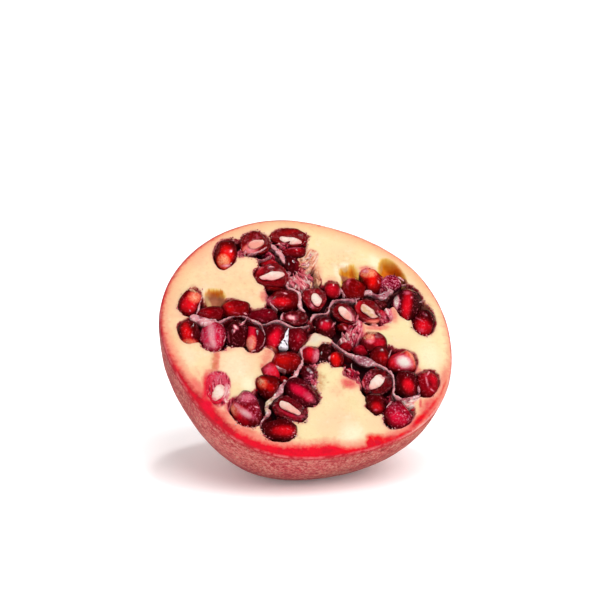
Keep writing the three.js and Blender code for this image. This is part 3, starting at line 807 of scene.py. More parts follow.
for order, (name, corners) in enumerate(MEMBRANES.items()):
    points, quads, heights = ribbon(corners, order, 0.25)
    membrane = add_piece(f"membrane_{name}", from_face(points), quads)
    keep_film_values(membrane, points, heights)
    membrane.data.materials.append(film.material)
    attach(membrane, "root")
    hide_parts("husk")

# Torn films that cling between arils inside a chamber: x, y and width.
CLINGING_FILMS = [
    [(-13.9, 4, 0.3), (-13.4, 1.5, 0.35), (-13.3, -1, 0.4), (-14.2, -3.4, 0.35), (-16, -5, 0.3),
     (-18, -5.5, 0.3)],
    [(-11.8, 9.9, 0.5), (-10.4, 8.7, 0.5), (-8.8, 7.4, 0.3)],
    [(-9.8, 11.6, 0.4), (-8.8, 10, 0.4), (-7.9, 8.6, 0.3)],
    [(-6, 7.9, 0.4), (-6.9, 6.6, 0.6), (-7.3, 5, 0.5)],
    [(-34.6, 6.9, 1), (-32.8, 6.2, 1.9), (-30.9, 5.4, 2.2), (-28.9, 4.9, 1.8), (-27.2, 4.9, 0.9)],
    [(-30.1, 14.8, 0.4), (-31, 12.6, 0.5), (-31.8, 10.6, 0.5), (-32.6, 9, 0.4)],
    [(-12.6, -11.2, 0.5), (-10.8, -12.2, 0.7), (-8.8, -13.6, 0.4)],
    [(24.6, -7.8, 0.4), (23.4, -9.8, 0.5), (22.4, -11, 0.5), (21.4, -12.4, 0.3)],
    [(29.6, -16.4, 0.9), (29.8, -19, 1), (30, -21.6, 0.8), (29.8, -23.4, 0.7)],
    [(9.2, 3.6, 0.5), (8.2, 2, 0.5), (6.8, 0.6, 0.4), (5.8, -0.4, 0.3)],
    [(33.2, 5.6, 0.5), (34.6, 7.2, 0.8), (36.2, 8.8, 0.7), (37.6, 9.6, 0.4)],
    [(19, -28.6, 0.5), (19.8, -27.2, 0.5), (21.2, -26, 0.5)],
    [(-25.8, 4.4, 0.4), (-24.8, 2.4, 0.5), (-24.9, 0.4, 0.4), (-25.6, -1.8, 0.3)],
    [(-19.6, 4.4, 0.5), (-18.4, 5.4, 0.5), (-17.4, 6.8, 0.4)],
    [(-10.8, 28, 0.3), (-9, 28, 0.4), (-7.6, 28.8, 0.4), (-6.2, 29.6, 0.3)],
    [(-13.8, 29.8, 0.4), (-11.5, 30.5, 0.5), (-9.4, 31.3, 0.4), (-7.4, 32.6, 0.3)],
    [(-8.2, 25.1, 0.5), (-7.2, 25.4, 0.6), (-6.2, 25.2, 0.4)],
    [(13.7, 12.8, 0.5), (13.4, 14.6, 0.6), (12.9, 16, 0.3)],
    [(22.6, -15, 0.6), (23.1, -16.4, 0.8), (23.4, -17.6, 0.5)],
    [(17, 12.2, 0.4), (17, 10.6, 0.7), (16.6, 9.6, 0.4)],
]
ribbons = [
    ribbon(corners, 20 + order, 0.7, spacing=0.3) for order, corners in enumerate(CLINGING_FILMS)]
points, quads = join([(points, quads) for points, quads, _ in ribbons])
films = add_piece("clinging_films", from_face(points), quads)
keep_film_values(films, points, np.concatenate([heights for _, _, heights in ribbons]))
films.data.materials.append(film.material)
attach(films, "root")
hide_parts("husk")

# One flap of clear film lies flat on the juice. Its white is a painted reflection of the light
# above, painted dark at its spots and on its sides: x, y and width.
FLAP = [(-5.7, 1.6, 0.25), (-6.2, 0.1, 0.9), (-6.9, -1.5, 1.8), (-7.9, -3.3, 2.9), (-8.4, -5.6, 3.7)]
FLAP_SPOTS = [
    (-8.9, -3.7, 0.3, 0.5, 10, 1.2), (-7.7, -3, 0.35, 0.35, 0, 1.2), (-7.3, -4.2, 0.25, 0.9, -10, 1.2),
    (-9.2, -5.4, 0.4, 0.25, 0, 1), (-6.6, -1.2, 0.2, 0.5, 20, 0.8)]
FLAP_LEVEL = 1.1
glare_finish = Finish("painted glare", Roughness=0.1, IOR=1.33)
flap_cloud = glare_finish.noise(900, 2.0, 0.6)
flap_cloud = flap_cloud.between(0.5, 0.66) * 0.7
glare_colour = glare_finish.mix(flap_cloud, seen(255, 246, 252), seen(190, 160, 192))
glare_colour = glare_finish.mix(glare_finish.value("spots"), glare_colour, seen(50, 8, 40))
glare_finish.drive(Base_Color=glare_colour)
points, quads, heights = ribbon(
    FLAP, 60, FLAP_LEVEL, depth=1.6, spacing=0.2, rough=0.0, crest=np.linspace(-0.4, 0.4, 15))
flap = add_piece("painted_glare_flap", from_face(points), quads)
below = np.maximum(marks(points[:, 0], points[:, 1], FLAP_SPOTS), 1 - step(0.3, 0.8, heights))
keep_values(flap, spots=below)
# Clear film throws hardly any shadow.
flap.visible_shadow = False
flap.data.materials.append(glare_finish.material)
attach(flap, "root")
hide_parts("husk")


# --- Torn tissue ----------------------------------------------------------------------------
# Where the knife crushed films and arils, the pulp stands up in small wet shreds, from deep
# crimson to almost white. Each shred is a thin curved leaf.

shred = Finish("torn pulp", Roughness=0.2, IOR=1.22)
pallor = shred.value("pale") + 1.1 * (shred.noise(1300, 3.0, 0.65) - 0.5)
colour = shred.mix(pallor.between(0.0, 0.4), seen(96, 2, 20), seen(196, 24, 60))
colour = shred.mix(pallor.between(0.3, 0.7), colour, seen(232, 124, 136))
colour = shred.mix(pallor.between(0.7, 1.0), colour, seen(248, 206, 198))
tan_shred = shred.mix(pallor.between(0.2, 0.8), seen(190, 84, 62), seen(250, 184, 146))
colour = shred.mix(shred.value("tan"), colour, tan_shred)
shred.drive(Base_Color=colour)
shred.bump(shred.noise(2500, 2.0, 0.6), 0.0002)

# Each patch: middle, half width, half length, lean, how many shreds, their mean paleness, its
# spread, and the share of them that is tan.
TORN_PATCHES = {
    "upper_strands": (4, 27, 1.4, 3.8, 38, 13, 0.78, 0.2, 0.6),
    "upper_pulp": (1.6, 19.8, 4.2, 3.4, 0, 26, 0.7, 0.25, 0.1),
    "upper_tan_edge": (6.5, 21, 0.7, 3.2, 0, 6, 0.6, 0.2, 0.95),
    "middle_pulp": (14.4, 0.6, 1.8, 5, 28, 22, 0.5, 0.3, 0),
    "middle_lump": (11.6, -1.8, 1.9, 1.2, -20, 8, 0.85, 0.12, 0),
    "right_purple": (29.2, 18, 4.2, 2.4, -8, 24, 0.45, 0.3, 0),
    "right_crushed": (24.6, 5, 2, 2.4, -20, 14, 0.42, 0.3, 0.05),
    "lower_magenta": (11.4, -15.2, 1.6, 2.8, -20, 12, 0.35, 0.25, 0),
    "lower_salmon": (12.6, -17.6, 1.2, 2.2, -30, 6, 0.4, 0.25, 0.1),
    "left_pulp": (-21.4, -22, 3, 1.7, -12, 10, 0.62, 0.25, 0),
    "left_core": (-22, -26.6, 1.3, 3.6, -50, 8, 0.72, 0.2, 0.05),
    "left_pink": (-13, -12.2, 1.7, 1.9, 30, 6, 0.5, 0.18, 0),
    "bottom_pink": (-1.4, -17.6, 0.8, 2.6, 12, 8, 0.6, 0.25, 0),
    "bottom_dark": (20.4, -25.6, 1.4, 1.8, 30, 10, 0.25, 0.4, 0.1),
    "upper_left_link": (-15.6, 31.6, 1.2, 1.6, 20, 7, 0.5, 0.2, 0),
    "upper_cut_pulp": (-1.8, 33.6, 2, 0.9, 0, 10, 0.5, 0.3, 0),
}
LEAF_STEPS, LEAF_SIDES = 7, 6
LEAF_POINTS = LEAF_STEPS * LEAF_SIDES + 2
# The shortest and longest leaf, the narrowest and widest, and their half thickness.
LEAF_LENGTHS, LEAF_WIDTHS, HALF_THICKNESS = (0.9, 3.0), (0.3, 1.1), 0.16


def capped_quads(rings, sides):
    """The faces of a closed body: its rings of points, then the two points at its ends."""
    quads = ring_quads(rings, sides)
    first_end, last_ring = rings * sides, (rings - 1) * sides
    for j in range(sides):
        k = (j + 1) % sides
        quads.append([k, j, first_end])
        quads.append([last_ring + j, last_ring + k, first_end + 1])
    return quads


for order, (name, patch) in enumerate(TORN_PATCHES.items()):
    x, y, half_width, half_length, lean, shreds, mean, spread, brownness = patch
    chance = np.random.default_rng(500 + order)
    turn = math.radians(lean)
    side_axis = np.array([math.cos(turn), -math.sin(turn)])
    long_way = np.array([math.sin(turn), math.cos(turn)])
    leaves, pales, tans = [], [], []
    for _ in range(shreds):
        out = math.sqrt(chance.uniform()) * 0.95
        around = chance.uniform(0, 2 * math.pi)
        middle = (np.array([x, y]) + side_axis * (half_width * out * math.cos(around))
                  + long_way * (half_length * out * math.sin(around)))
        length, width = chance.uniform(*LEAF_LENGTHS), chance.uniform(*LEAF_WIDTHS)
        heading = turn + chance.normal(0, 0.55)
        along = np.array([math.sin(heading), math.cos(heading)])
        aside = np.array([along[1], -along[0]])
        level = chance.uniform(-0.9, 0.35)
        hump, bend = chance.uniform(0.0, 0.6), chance.uniform(-0.35, 0.35)
        roll = chance.uniform(-0.9, 0.9)
        travel = np.linspace(0, 1, LEAF_STEPS + 2)[1:-1]
        swell = np.sin(math.pi * travel) ** 0.6
        spine = (middle + np.outer((travel - 0.5) * length, along)
                 + np.outer(np.sin(math.pi * travel) * bend, aside))
        tips = middle + np.outer([-0.5 * length, 0.5 * length], along)
        leaf = []
        for turn_on in np.arange(LEAF_SIDES) / LEAF_SIDES * 2 * math.pi:
            flat_out = math.cos(turn_on) * width / 2 * swell
            thick = math.sin(turn_on) * HALF_THICKNESS * swell
            place = spine + np.outer(flat_out * math.cos(roll), aside)
            rise = level + hump * np.sin(math.pi * travel) + flat_out * math.sin(roll) + thick
            leaf.append(np.concatenate([place, rise[:, None]], axis=1))
        leaf = np.stack(leaf, axis=1).reshape(-1, 3)
        ends = np.concatenate([tips, np.full((2, 1), level)], axis=1)
        leaves.append((np.concatenate([leaf, ends]), capped_quads(LEAF_STEPS, LEAF_SIDES)))
        pales.append(np.clip(chance.normal(mean, spread), 0, 1))
        tans.append(float(chance.uniform() < brownness))
    points, quads = join(leaves)
    torn = add_piece(f"torn_{name}", from_face(points), quads)
    keep_values(torn, pale=np.repeat(pales, LEAF_POINTS), tan=np.repeat(tans, LEAF_POINTS))
    torn.data.materials.append(shred.material)
    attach(torn, "root")
    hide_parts("husk")


# --- Crumbs ---------------------------------------------------------------------------------
# The knife leaves crumbs of pith and wet film round the hollows and on the membranes. Each
# crumb is a small rough lump, from white to crimson.

CRUMB_COUNT = 1000
# The smallest crumb's radius in millimetres, and how much greater the largest one's is.
CRUMB_RADIUS, CRUMB_RANGE = 0.07, 0.2
CRUMB_CORNERS = np.array([
    (0, 0, 1), (0.89, 0, 0.45), (0.28, 0.85, 0.45), (-0.72, 0.53, 0.45), (-0.72, -0.53, 0.45),
    (0.28, -0.85, 0.45), (0.72, 0.53, -0.45), (-0.28, 0.85, -0.45), (-0.89, 0, -0.45),
    (-0.28, -0.85, -0.45), (0.72, -0.53, -0.45), (0, 0, -1)])
CRUMB_FACES = [
    (0, 1, 2), (0, 2, 3), (0, 3, 4), (0, 4, 5), (0, 5, 1), (1, 6, 2), (2, 7, 3), (3, 8, 4), (4, 9, 5),
    (5, 10, 1), (6, 7, 2), (7, 8, 3), (8, 9, 4), (9, 10, 5), (10, 6, 1), (11, 7, 6), (11, 8, 7),
    (11, 9, 8), (11, 10, 9), (11, 6, 10)]
chance = np.random.default_rng(900)
# Where the edges of the hollows are clean.
CLEAN_EDGES = [(-30, -18, 5, 8, 0, 1), (0, 41, 5, 2.4, 0, 1), (7.4, 24, 1.6, 5, 0, 1)]
crumbly = (ripple(7.0, 41) > -0.15) & (marks(face_x, face_y, CLEAN_EDGES) == 0)
near_edge = np.argwhere((np.abs(to_hollow - 0.2) < 0.45) & (from_rim > 3) & crumbly)
crumb_bodies, pales = [], []
for _ in range(CRUMB_COUNT):
    row, column = near_edge[chance.integers(len(near_edge))]
    x, y = face_x[row, column], face_y[row, column]
    size = CRUMB_RADIUS + CRUMB_RANGE * chance.uniform() ** 2
    stretch = np.exp(chance.normal(0, 0.35, 3))
    lump = CRUMB_CORNERS * size * stretch + chance.normal(0, 0.1 * size, CRUMB_CORNERS.shape)
    spot = np.array([x, y, 0.0]) + chance.normal(0, 0.22, 3) * (1, 1, 0)
    spot[2] = height[row, column] * 0.7 + 0.4 * size
    crumb_bodies.append((lump + spot, CRUMB_FACES))
    pales.append(np.clip(chance.normal(0.6, 0.3), 0, 1))
points, faces = join(crumb_bodies)
crumbs = add_piece("crumbs", from_face(points), faces)
keep_values(crumbs, pale=np.repeat(pales, len(CRUMB_CORNERS)), tan=np.zeros(len(points)))
crumbs.data.materials.append(shred.material)
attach(crumbs, "root")
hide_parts("husk")


# --- The arils ------------------------------------------------------------------------------
# Juicy seed coats, each one a taut drop of clear deep red flesh round a pale seed. They press
# flat against each other in the chamber and hold to the pith by their narrow feet.

aril_nodes = sorted(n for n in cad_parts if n.startswith("aril_"))
seed_nodes = sorted(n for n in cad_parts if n.startswith("seed_"))
cut_arils = [n for n in aril_nodes if n.replace("aril_", "seed_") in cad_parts]
cut_arils.append("aril_upper_left_9")
whole_arils = [n for n in aril_nodes if n not in cut_arils]

# How each aril looks. base is the painted dim glow of its flesh, which fades to painted shade
# at its skin, crimson turns its red towards magenta and swell is how much fuller it is than its
# plain drop. The rest are marks of x, y, half width, half length, lean and strength: glow is
# where painted light makes it glow red, warm where its paler foot shows peach with painted light
# through it, frost where films veil it pink and, above 1, where a painted glint makes it cream
# white, mush where crushed pulp clings to it, and skin where dry tan skin does.
ARIL_LOOKS = {
    "upper_left_1": dict(
        base=0.25, swell=1.08, glow=[(-20, 31, 2.2, 3.6, 8, 1.05)],
        warm=[(-21.4, 28.4, 1.7, 2.4, 10, 1.25)], frost=[(-20.8, 26.6, 1.8, 0.6, 0, 0.8)]),
    "upper_left_3": dict(
        base=0.22, swell=1.08, crimson=0.2, glow=[(-34.2, 12.6, 2.3, 3.4, 22, 1.05)],
        warm=[(-32.2, 15.2, 1.8, 1.9, 25, 1.1)], skin=[(-31.8, 17.9, 1.7, 1.1, 15, 1.4)],
        frost=[(-34.2, 10.4, 0.2, 0.4, 0, 1)]),
    "upper_left_5": dict(
        base=0.3, swell=1.12, crimson=0.2, glow=[(-6, 12.2, 3.4, 1.9, 0, 0.85)],
        frost=[(-9.9, 13.6, 1.3, 2.8, -15, 0.5), (-4.3, 15.2, 0.7, 0.3, 30, 1.1)]),
    "upper_left_6": dict(base=0.3, swell=1.3, crimson=0.3, glow=[(-28, 9.8, 2.2, 1.6, 0, 0.4)]),
    "upper_left_7": dict(
        base=0.4, swell=1.2, crimson=0.1, glow=[(-22.2, 10.8, 2, 3, -20, 0.75)],
        frost=[(-17.7, 8.4, 0.7, 0.25, 30, 1.2), (-20.4, 8.8, 1.4, 0.25, 20, 0.5)]),
    "upper_left_8": dict(
        base=0.3, swell=1.25, crimson=0.8, glow=[(-12, 7, 2.2, 1.4, 0, 0.4)],
        frost=[(-13.2, 5.8, 1.6, 0.25, 30, 0.4)]),
    "upper_right_2": dict(
        base=0.3, swell=1.3, crimson=0.3, glow=[(2.2, 31.4, 2.4, 1.2, 0, 0.45)],
        frost=[(1, 32.4, 2.4, 0.4, 0, 0.42)]),
    "upper_right_3": dict(base=0.1, swell=1.35, crimson=0.5, glow=[(1.6, 26, 0.9, 3, 25, 0.35)]),
    "upper_right_5": dict(
        base=0.5, swell=1.2, crimson=0.4, glow=[(10.3, 16, 2, 2.8, 0, 0.8)],
        frost=[(12.8, 14.5, 0.5, 2, 10, 0.7)]),
    "upper_right_6": dict(
        base=0.36, swell=1.3, glow=[(18.8, 17, 2.4, 2.4, 0, 0.42)],
        frost=[(16, 18.6, 0.5, 1.8, 25, 0.5)], warm=[(17.5, 20.2, 2.4, 0.8, 0, 0.2)]),
    "upper_right_7": dict(
        base=0.5, swell=1.22, glow=[(23.6, 18.6, 1.8, 3.4, 8, 1)],
        warm=[(22.8, 21.6, 2.4, 1.6, 0, 1.2)], frost=[(22, 22.4, 1.2, 0.9, 0, 0.75)]),
    "upper_right_8": dict(
        base=0.4, swell=1.12, crimson=1, glow=[(27.4, 17, 2, 1.6, 0, 0.4)],
        mush=[(29, 18.4, 5.4, 4, 0, 1.3)],
        frost=[(27.6, 19, 1.6, 1.6, 0, 0.4), (32.4, 17.9, 0.4, 1, -35, 1.2)]),
    "right_1": dict(
        base=0.06, swell=1.12, crimson=0.3, glow=[(32.6, 8.8, 1.5, 5.4, 16, 1)],
        mush=[(30, 9.8, 1, 2.8, 12, 0.9)],
        # Its long cream-white mark on the left is a painted reflection.
        frost=[(29.7, 10.4, 0.75, 2.4, 12, 1.9), (34.6, 11.6, 0.35, 0.4, 0, 0.8),
               (33.6, 13.4, 1.2, 0.7, 0, 0.5)]),
    "right_2": dict(
        base=0.08, swell=1.06, crimson=0.3, glow=[(36.2, 0.4, 2.6, 3.2, -10, 0.95)],
        frost=[(35.4, -0.8, 1.2, 0.9, 0, 0.4), (35.4, 3.4, 1.6, 0.25, 40, 0.5),
               (37.6, 4.8, 1.2, 0.25, 40, 0.4)]),
    "right_5": dict(
        base=0.12, swell=1.12, crimson=0.5, glow=[(5.9, 2.7, 2, 1.9, 0, 0.85)],
        frost=[(8.6, 3, 0.3, 1.2, 35, 0.7)]),
    "right_6": dict(
        base=0.35, swell=1.2, crimson=0.4, glow=[(21.2, -4.6, 2.2, 2.4, 0, 0.75)],
        warm=[(18.9, -2.6, 1.2, 1.8, 0, 1.2)], frost=[(18.7, -3.8, 1.5, 0.9, 0, 0.6)],
        skin=[(19.6, -0.6, 2.2, 0.9, 0, 1.3), (17.4, -2, 0.6, 1.6, 0, 1)]),
    "right_7": dict(base=0.3, swell=1.2, crimson=0.1, glow=[(21.5, -9.6, 2, 2.4, 0, 0.55)]),
    "right_8": dict(
        base=0.5, swell=1.12, crimson=0.3, glow=[(25.2, -10.6, 3.8, 3.8, 0, 0.95)],
        warm=[(30.2, -10.6, 1.9, 3.8, 8, 0.8)], skin=[(31.4, -10.4, 0.9, 3.4, 8, 0.9)],
        frost=[(27.6, -11.9, 2.6, 2.2, 40, 1.5), (25.6, -14.6, 0.4, 0.3, 0, 0.8)]),
    "right_9": dict(base=0.14, swell=1.08, crimson=0.3, glow=[(27.2, -20.4, 1.8, 2.9, 0, 0.95)]),
    "right_10": dict(
        base=0.45, swell=1.04, crimson=0.4, glow=[(35.2, -19, 1.6, 3.4, 5, 0.65)],
        frost=[(34.3, -16.4, 0.3, 1.4, 40, 0.8), (33.2, -19.2, 0.35, 2.4, 0, 0.65),
               (34.2, -22.4, 0.3, 1, -40, 0.8)]),
    "bottom_1": dict(
        base=0.5, swell=1.12, crimson=0.4, glow=[(-0.4, -6.8, 1.6, 2.6, 15, 0.95)],
        frost=[(1.5, -8.2, 1.3, 2.6, 15, 0.65), (-1.6, -4.9, 1.8, 0.35, -30, 0.8)]),
    "bottom_2": dict(base=0.03, swell=1.35),
    "bottom_3": dict(
        base=0.3, swell=1.12, glow=[(6.9, -9.6, 1.6, 2.8, 0, 1.05)],
        frost=[(5.2, -8.8, 0.4, 1.1, 10, 1)]),
    "bottom_4": dict(
        base=0.1, swell=0.98, crimson=0.6, mush=[(-1.2, -16.4, 1.8, 2.6, 0, 0.9)],
        frost=[(-1.2, -17, 0.4, 1.4, -20, 0.6), (-2.6, -15.8, 0.8, 0.3, 0, 0.5)]),
    "bottom_6": dict(
        base=0.15, swell=1.05, crimson=0.2, glow=[(16.4, -27.2, 1.8, 2, 0, 0.9)],
        frost=[(15.9, -28.3, 0.8, 0.5, 0, 0.5)]),
    "bottom_7": dict(
        base=0.45, swell=1.04, crimson=0.9, glow=[(22.2, -31.4, 3.4, 2.8, 25, 0.9)],
        mush=[(22.4, -29.6, 3.8, 2, 65, 0.8), (25.6, -31, 0.7, 2.6, 40, 1.1)],
        frost=[(24.4, -29, 0.3, 0.3, 0, 0.8), (21.8, -29.4, 0.5, 0.25, 0, 0.7)]),
    "bottom_8": dict(
        base=0.15, swell=1.05, crimson=1,
        glow=[(-5.6, -20.3, 1.8, 3.6, -48, 1.05), (-3.5, -22.6, 1.4, 1.7, 0, 0.95)],
        frost=[(-3.2, -22.8, 1.2, 2.2, -30, 0.42)]),
    "bottom_10": dict(
        base=0.12, swell=1.05, crimson=0.2, glow=[(-12.6, -33.6, 3.5, 2.1, 0, 0.88)],
        frost=[(-9.8, -34.4, 0.4, 0.3, 0, 0.8), (-10.6, -36, 0.3, 0.25, 0, 0.7)]),
    "left_1": dict(
        base=0.1, swell=1.08, crimson=0.1, glow=[(-36.2, 2.2, 1.7, 3.8, 0, 0.95)],
        warm=[(-36.2, -1.3, 2.4, 1.4, 0, 0.75)], frost=[(-34.7, 1.5, 0.2, 0.5, 0, 1)]),
    "left_2": dict(
        base=0.7, swell=1.06, crimson=1, glow=[(-29.2, 1, 4.6, 7, 5, 0.9)],
        mush=[(-29.2, 1.6, 4.4, 6.4, 0, 0.8)],
        frost=[(-28.9, 1.8, 1.5, 5.4, 5, 0.85), (-28.9, -1.6, 1.2, 2.8, 0, 0.9),
               (-31.6, 1.6, 0.6, 3.4, 0, 0.5), (-26.2, 1, 0.3, 3, 5, 0.5),
               (-30.4, -2.6, 1.8, 1.8, 0, 0.6)]),
    "left_3": dict(
        base=0.08, swell=1.15, crimson=0.5,
        # Its whitest marks are painted reflections.
        frost=[(-21.3, 3.6, 0.5, 1, -30, 1.2), (-21.9, 2.2, 0.3, 0.7, 20, 1),
               (-19.2, 4.6, 0.3, 0.9, 60, 0.8), (-24, 0, 0.25, 2.4, 0, 0.35)]),
    "left_4": dict(
        base=0.18, swell=1.12, glow=[(-16.8, 1.2, 1.4, 3.4, 8, 0.95)], crimson=0.6,
        warm=[(-17.8, -2.8, 1.3, 2.8, 22, 1.5)], frost=[(-17.5, -2, 0.7, 1.6, 22, 0.35)]),
    "left_6": dict(
        base=0.35, swell=1.02, crimson=0.4, glow=[(-25.4, -28.2, 2.4, 4.6, -45, 0.85)],
        warm=[(-26.9, -24.6, 1.6, 3.2, -14, 1), (-24.6, -25.4, 1.2, 2.2, -40, 1)],
        mush=[(-21.4, -21.4, 4.2, 2, 0, 1), (-20.4, -26.4, 2.4, 2.6, 0, 0.6)],
        frost=[(-21.8, -21.4, 3.2, 1.7, 0, 0.6), (-22.9, -26.9, 1.4, 2.8, -45, 0.95),
               (-24.8, -24.4, 0.9, 1.8, -40, 0.7), (-19.3, -25, 0.8, 0.3, 30, 1)]),
    "left_7": dict(
        base=0.15, swell=1.12, glow=[(-10.6, -1.6, 1.8, 4.6, 30, 1.1)], crimson=0.5,
        warm=[(-12, -5.2, 1.8, 1.3, 30, 0.9)]),
    "left_8": dict(base=0.3, swell=1.15, crimson=0.6, glow=[(-3, -1.2, 1.6, 3, 25, 0.45)]),
    "left_9": dict(
        base=0.45, swell=1.08, glow=[(-8.6, -9.2, 3, 2.1, 10, 0.75)],
        frost=[(-11.6, -7, 0.6, 1.6, 0, 0.5)]),
    "left_10": dict(
        base=0.6, swell=1.15, crimson=0.5, glow=[(-12.8, -13, 2.6, 2.8, 0, 1.1)],
        frost=[(-13.6, -12.2, 1.8, 1.6, 0, 0.36)]),
    "left_11": dict(
        base=0.25, swell=1.1, glow=[(-14.2, -18.4, 1.5, 2, 0, 0.65)],
        warm=[(-16.4, -16.9, 1.7, 2, 0, 0.5)], skin=[(-16.8, -16.2, 1.6, 1.6, -30, 0.8)]),
}

flesh = Finish(
    "aril flesh", Roughness=0.045, IOR=1.22, Subsurface_Weight=0.05, Subsurface_Scale=0.001,
    Subsurface_Radius=(1.0, 0.1, 0.06))
marbling = flesh.noise(750, 3.0, 0.6)
haze = flesh.noise(330, 2.0, 0.5)
speckle = flesh.noise(1500, 3.0, 0.7)
crimson = flesh.value("crimson")
# Light through the flesh is painted in lit and shaded copies of its red: dark at its skin, dim red, and
# lit bright red where the glow marks are.
glow = flesh.value("glow") * (0.2 + 0.7 * marbling + 0.9 * haze)
lit = flesh.mix(crimson, seen(242, 14, 10), seen(234, 14, 60))
dim = flesh.mix(crimson, seen(140, 0, 2), seen(134, 0, 22))
dark = flesh.mix(crimson, seen(34, 0, 0), seen(34, 0, 3))
colour = flesh.mix(glow.between(0.0, 0.45), dark, dim)
colour = flesh.mix(glow.between(0.35, 1.0), colour, lit)
# Towards its foot painted light turns it bright red, and then its paler foot shows peach.
warm = flesh.value("warm") * (1.1 * marbling + 0.9 * haze)
foot = flesh.mix(crimson, seen(252, 154, 110), seen(252, 152, 136))
foot = flesh.mix(speckle.between(0.5, 0.36) * 0.8, foot, seen(226, 84, 62))
foot = flesh.mix(speckle.between(0.54, 0.66) * 0.7, foot, seen(255, 208, 168))
colour = flesh.mix(warm.between(0.02, 0.4) * 0.85, colour, lit)
colour = flesh.mix(warm.between(0.15, 1.05), colour, foot)
# Small pink specks are a painted sheen.
painted_sheen = speckle.between(0.58, 0.68) * haze.between(0.46, 0.56)
colour = flesh.mix(painted_sheen * 0.5, colour, seen(232, 112, 128))
# Films veil it pink, and above 1 a mark is a painted cream-white glint.
frost = flesh.value("frost") + 0.9 * (speckle - 0.5)
colour = flesh.mix(frost.between(0.05, 0.6) * 0.8, colour, seen(228, 88, 116))
colour = flesh.mix(frost.between(0.45, 1.05), colour, seen(252, 198, 198))
colour = flesh.mix(frost.between(1.0, 1.4), colour, seen(255, 244, 232))
mush = flesh.value("mush") * speckle.between(0.46, 0.6)
mush_colour = flesh.mix(speckle.between(0.56, 0.68), seen(196, 60, 100), seen(240, 164, 176))
colour = flesh.mix(mush, colour, mush_colour)
skin = flesh.value("skin") + 0.7 * (marbling - 0.5)
dry = flesh.mix(speckle.between(0.4, 0.6), seen(170, 92, 68), seen(228, 172, 138))
colour = flesh.mix(skin.between(0.1, 0.7), colour, dry)
flesh.drive(Base_Color=colour)
flesh.bump(0.6 * marbling + 0.4 * speckle, 0.00007)


def get_points(piece):
    places = np.zeros(len(piece.data.vertices) * 3)
    piece.data.vertices.foreach_get("co", places)
    return places.reshape(-1, 3)


def set_points(piece, points):
    piece.data.vertices.foreach_set("co", np.asarray(points, dtype=np.float32).reshape(-1))
    piece.data.update()


def rounded(node, name, levels, even=0):
    """A finely rounded copy of a CAD node's mesh, remade with faces of an even size if that is set."""
    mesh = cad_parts[node].data.copy()
    work = bmesh.new()
    work.from_mesh(mesh)
    bmesh.ops.remove_doubles(work, verts=work.verts, dist=1e-6)
    work.to_mesh(mesh)
    work.free()
    piece = bpy.data.objects.new(name, mesh)
    bpy.context.scene.collection.objects.link(piece)
    modifier = piece.modifiers.new("round", "SUBSURF")
    modifier.levels = modifier.render_levels = levels
    if even:
        remesh = piece.modifiers.new("even", "REMESH")
        remesh.mode, remesh.voxel_size = "VOXEL", even
        smooth = piece.modifiers.new("smooth", "SMOOTH")
        smooth.factor, smooth.iterations = 0.5, 4
    depsgraph = bpy.context.evaluated_depsgraph_get()
    fine_mesh = bpy.data.meshes.new_from_object(piece.evaluated_get(depsgraph))
    piece.modifiers.clear()
    piece.data = fine_mesh
    fine_mesh.polygons.foreach_set("use_smooth", [True] * len(fine_mesh.polygons))
    fine_mesh.materials.clear()
    return piece


# Marks are laid on a bulging aril along a slant from low in front of the face, so that its
# painted red glow seems to lie deep inside it: millimetres sideways and up for each one of height.
GLOW_SLANT = (0.27, 0.69)
# Where no dry skin is marked it stays this far below showing, so that noise never brings it out.
SKIN_HIDDEN = 0.3


def keep_looks(piece, points, middle, size, looks):
    """Stores the marks of one aril, whose painted dim glow fades to painted shade towards its skin."""
    seen_x = points[:, 0] + GLOW_SLANT[0] * points[:, 2]
    seen_y = points[:, 1] + GLOW_SLANT[1] * points[:, 2]
    out_x = (seen_x - middle[0]) / size[0]
    out_y = (seen_y - middle[1]) / size[1]
    dim = looks["base"] * step(1.3, 0.5, np.hypot(out_x, out_y))
    laid = {}
    for name in ("glow", "warm", "frost", "mush", "skin"):
        laid[name] = marks(seen_x, seen_y, looks.get(name, []))
    laid["glow"] = np.maximum(dim, laid["glow"])
    laid["skin"] -= SKIN_HIDDEN
    keep_values(piece, crimson=np.full(len(points), looks.get("crimson", 0)), **laid)


# How much fuller every aril is than its plain drop, and the most that one may stand higher.
SWELL, MOST_RISE = 1.1, 1.12
# Its neighbours press it flat: on how many sides, how far out from its middle, and how hard.
PRESSES, PRESS_REACH, PRESS_GIVE = 6, (0.74, 0.9), 0.8
# The size of an aril's faces, in metres.
FACE_SIZE = 0.00026
for order, node in enumerate(whole_arils):
    looks = ARIL_LOOKS[node.removeprefix("aril_")]
    swell = SWELL * looks["swell"]
    aril = rounded(node, f"{node}.flesh", 2, even=FACE_SIZE)
    points = to_face(get_points(aril))
    middle = (points.max(axis=0) + points.min(axis=0)) / 2
    local = (points - middle) * np.array([swell, swell, min(swell, MOST_RISE)])
    chance = np.random.default_rng(100 + order)
    for _ in range(PRESSES):
        direction = chance.normal(size=3)
        direction[2] = abs(direction[2]) * 0.8
        direction /= np.linalg.norm(direction)
        reach = local @ direction
        press = reach.max() * chance.uniform(*PRESS_REACH)
        local -= direction * (np.maximum(reach - press, 0) * PRESS_GIVE)[:, None]
    grain_here = 0.1 * lattice_noise(points, 1.4, 200 + order)
    local += grain_here[:, None] * local / (np.linalg.norm(local, axis=1)[:, None] + 1e-6)
    points = local + middle
    set_points(aril, from_face(points))
    size = np.abs(local).max(axis=0)
    keep_looks(aril, points, middle, size, looks)
    aril.data.materials.append(flesh.material)
    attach(aril, "root")
    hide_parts(node)


# --- Scraps of arils ------------------------------------------------------------------------
# Crushed and half-hidden arils between the whole ones: wet red flesh that the knife flattened
# and pressed down between its neighbours.

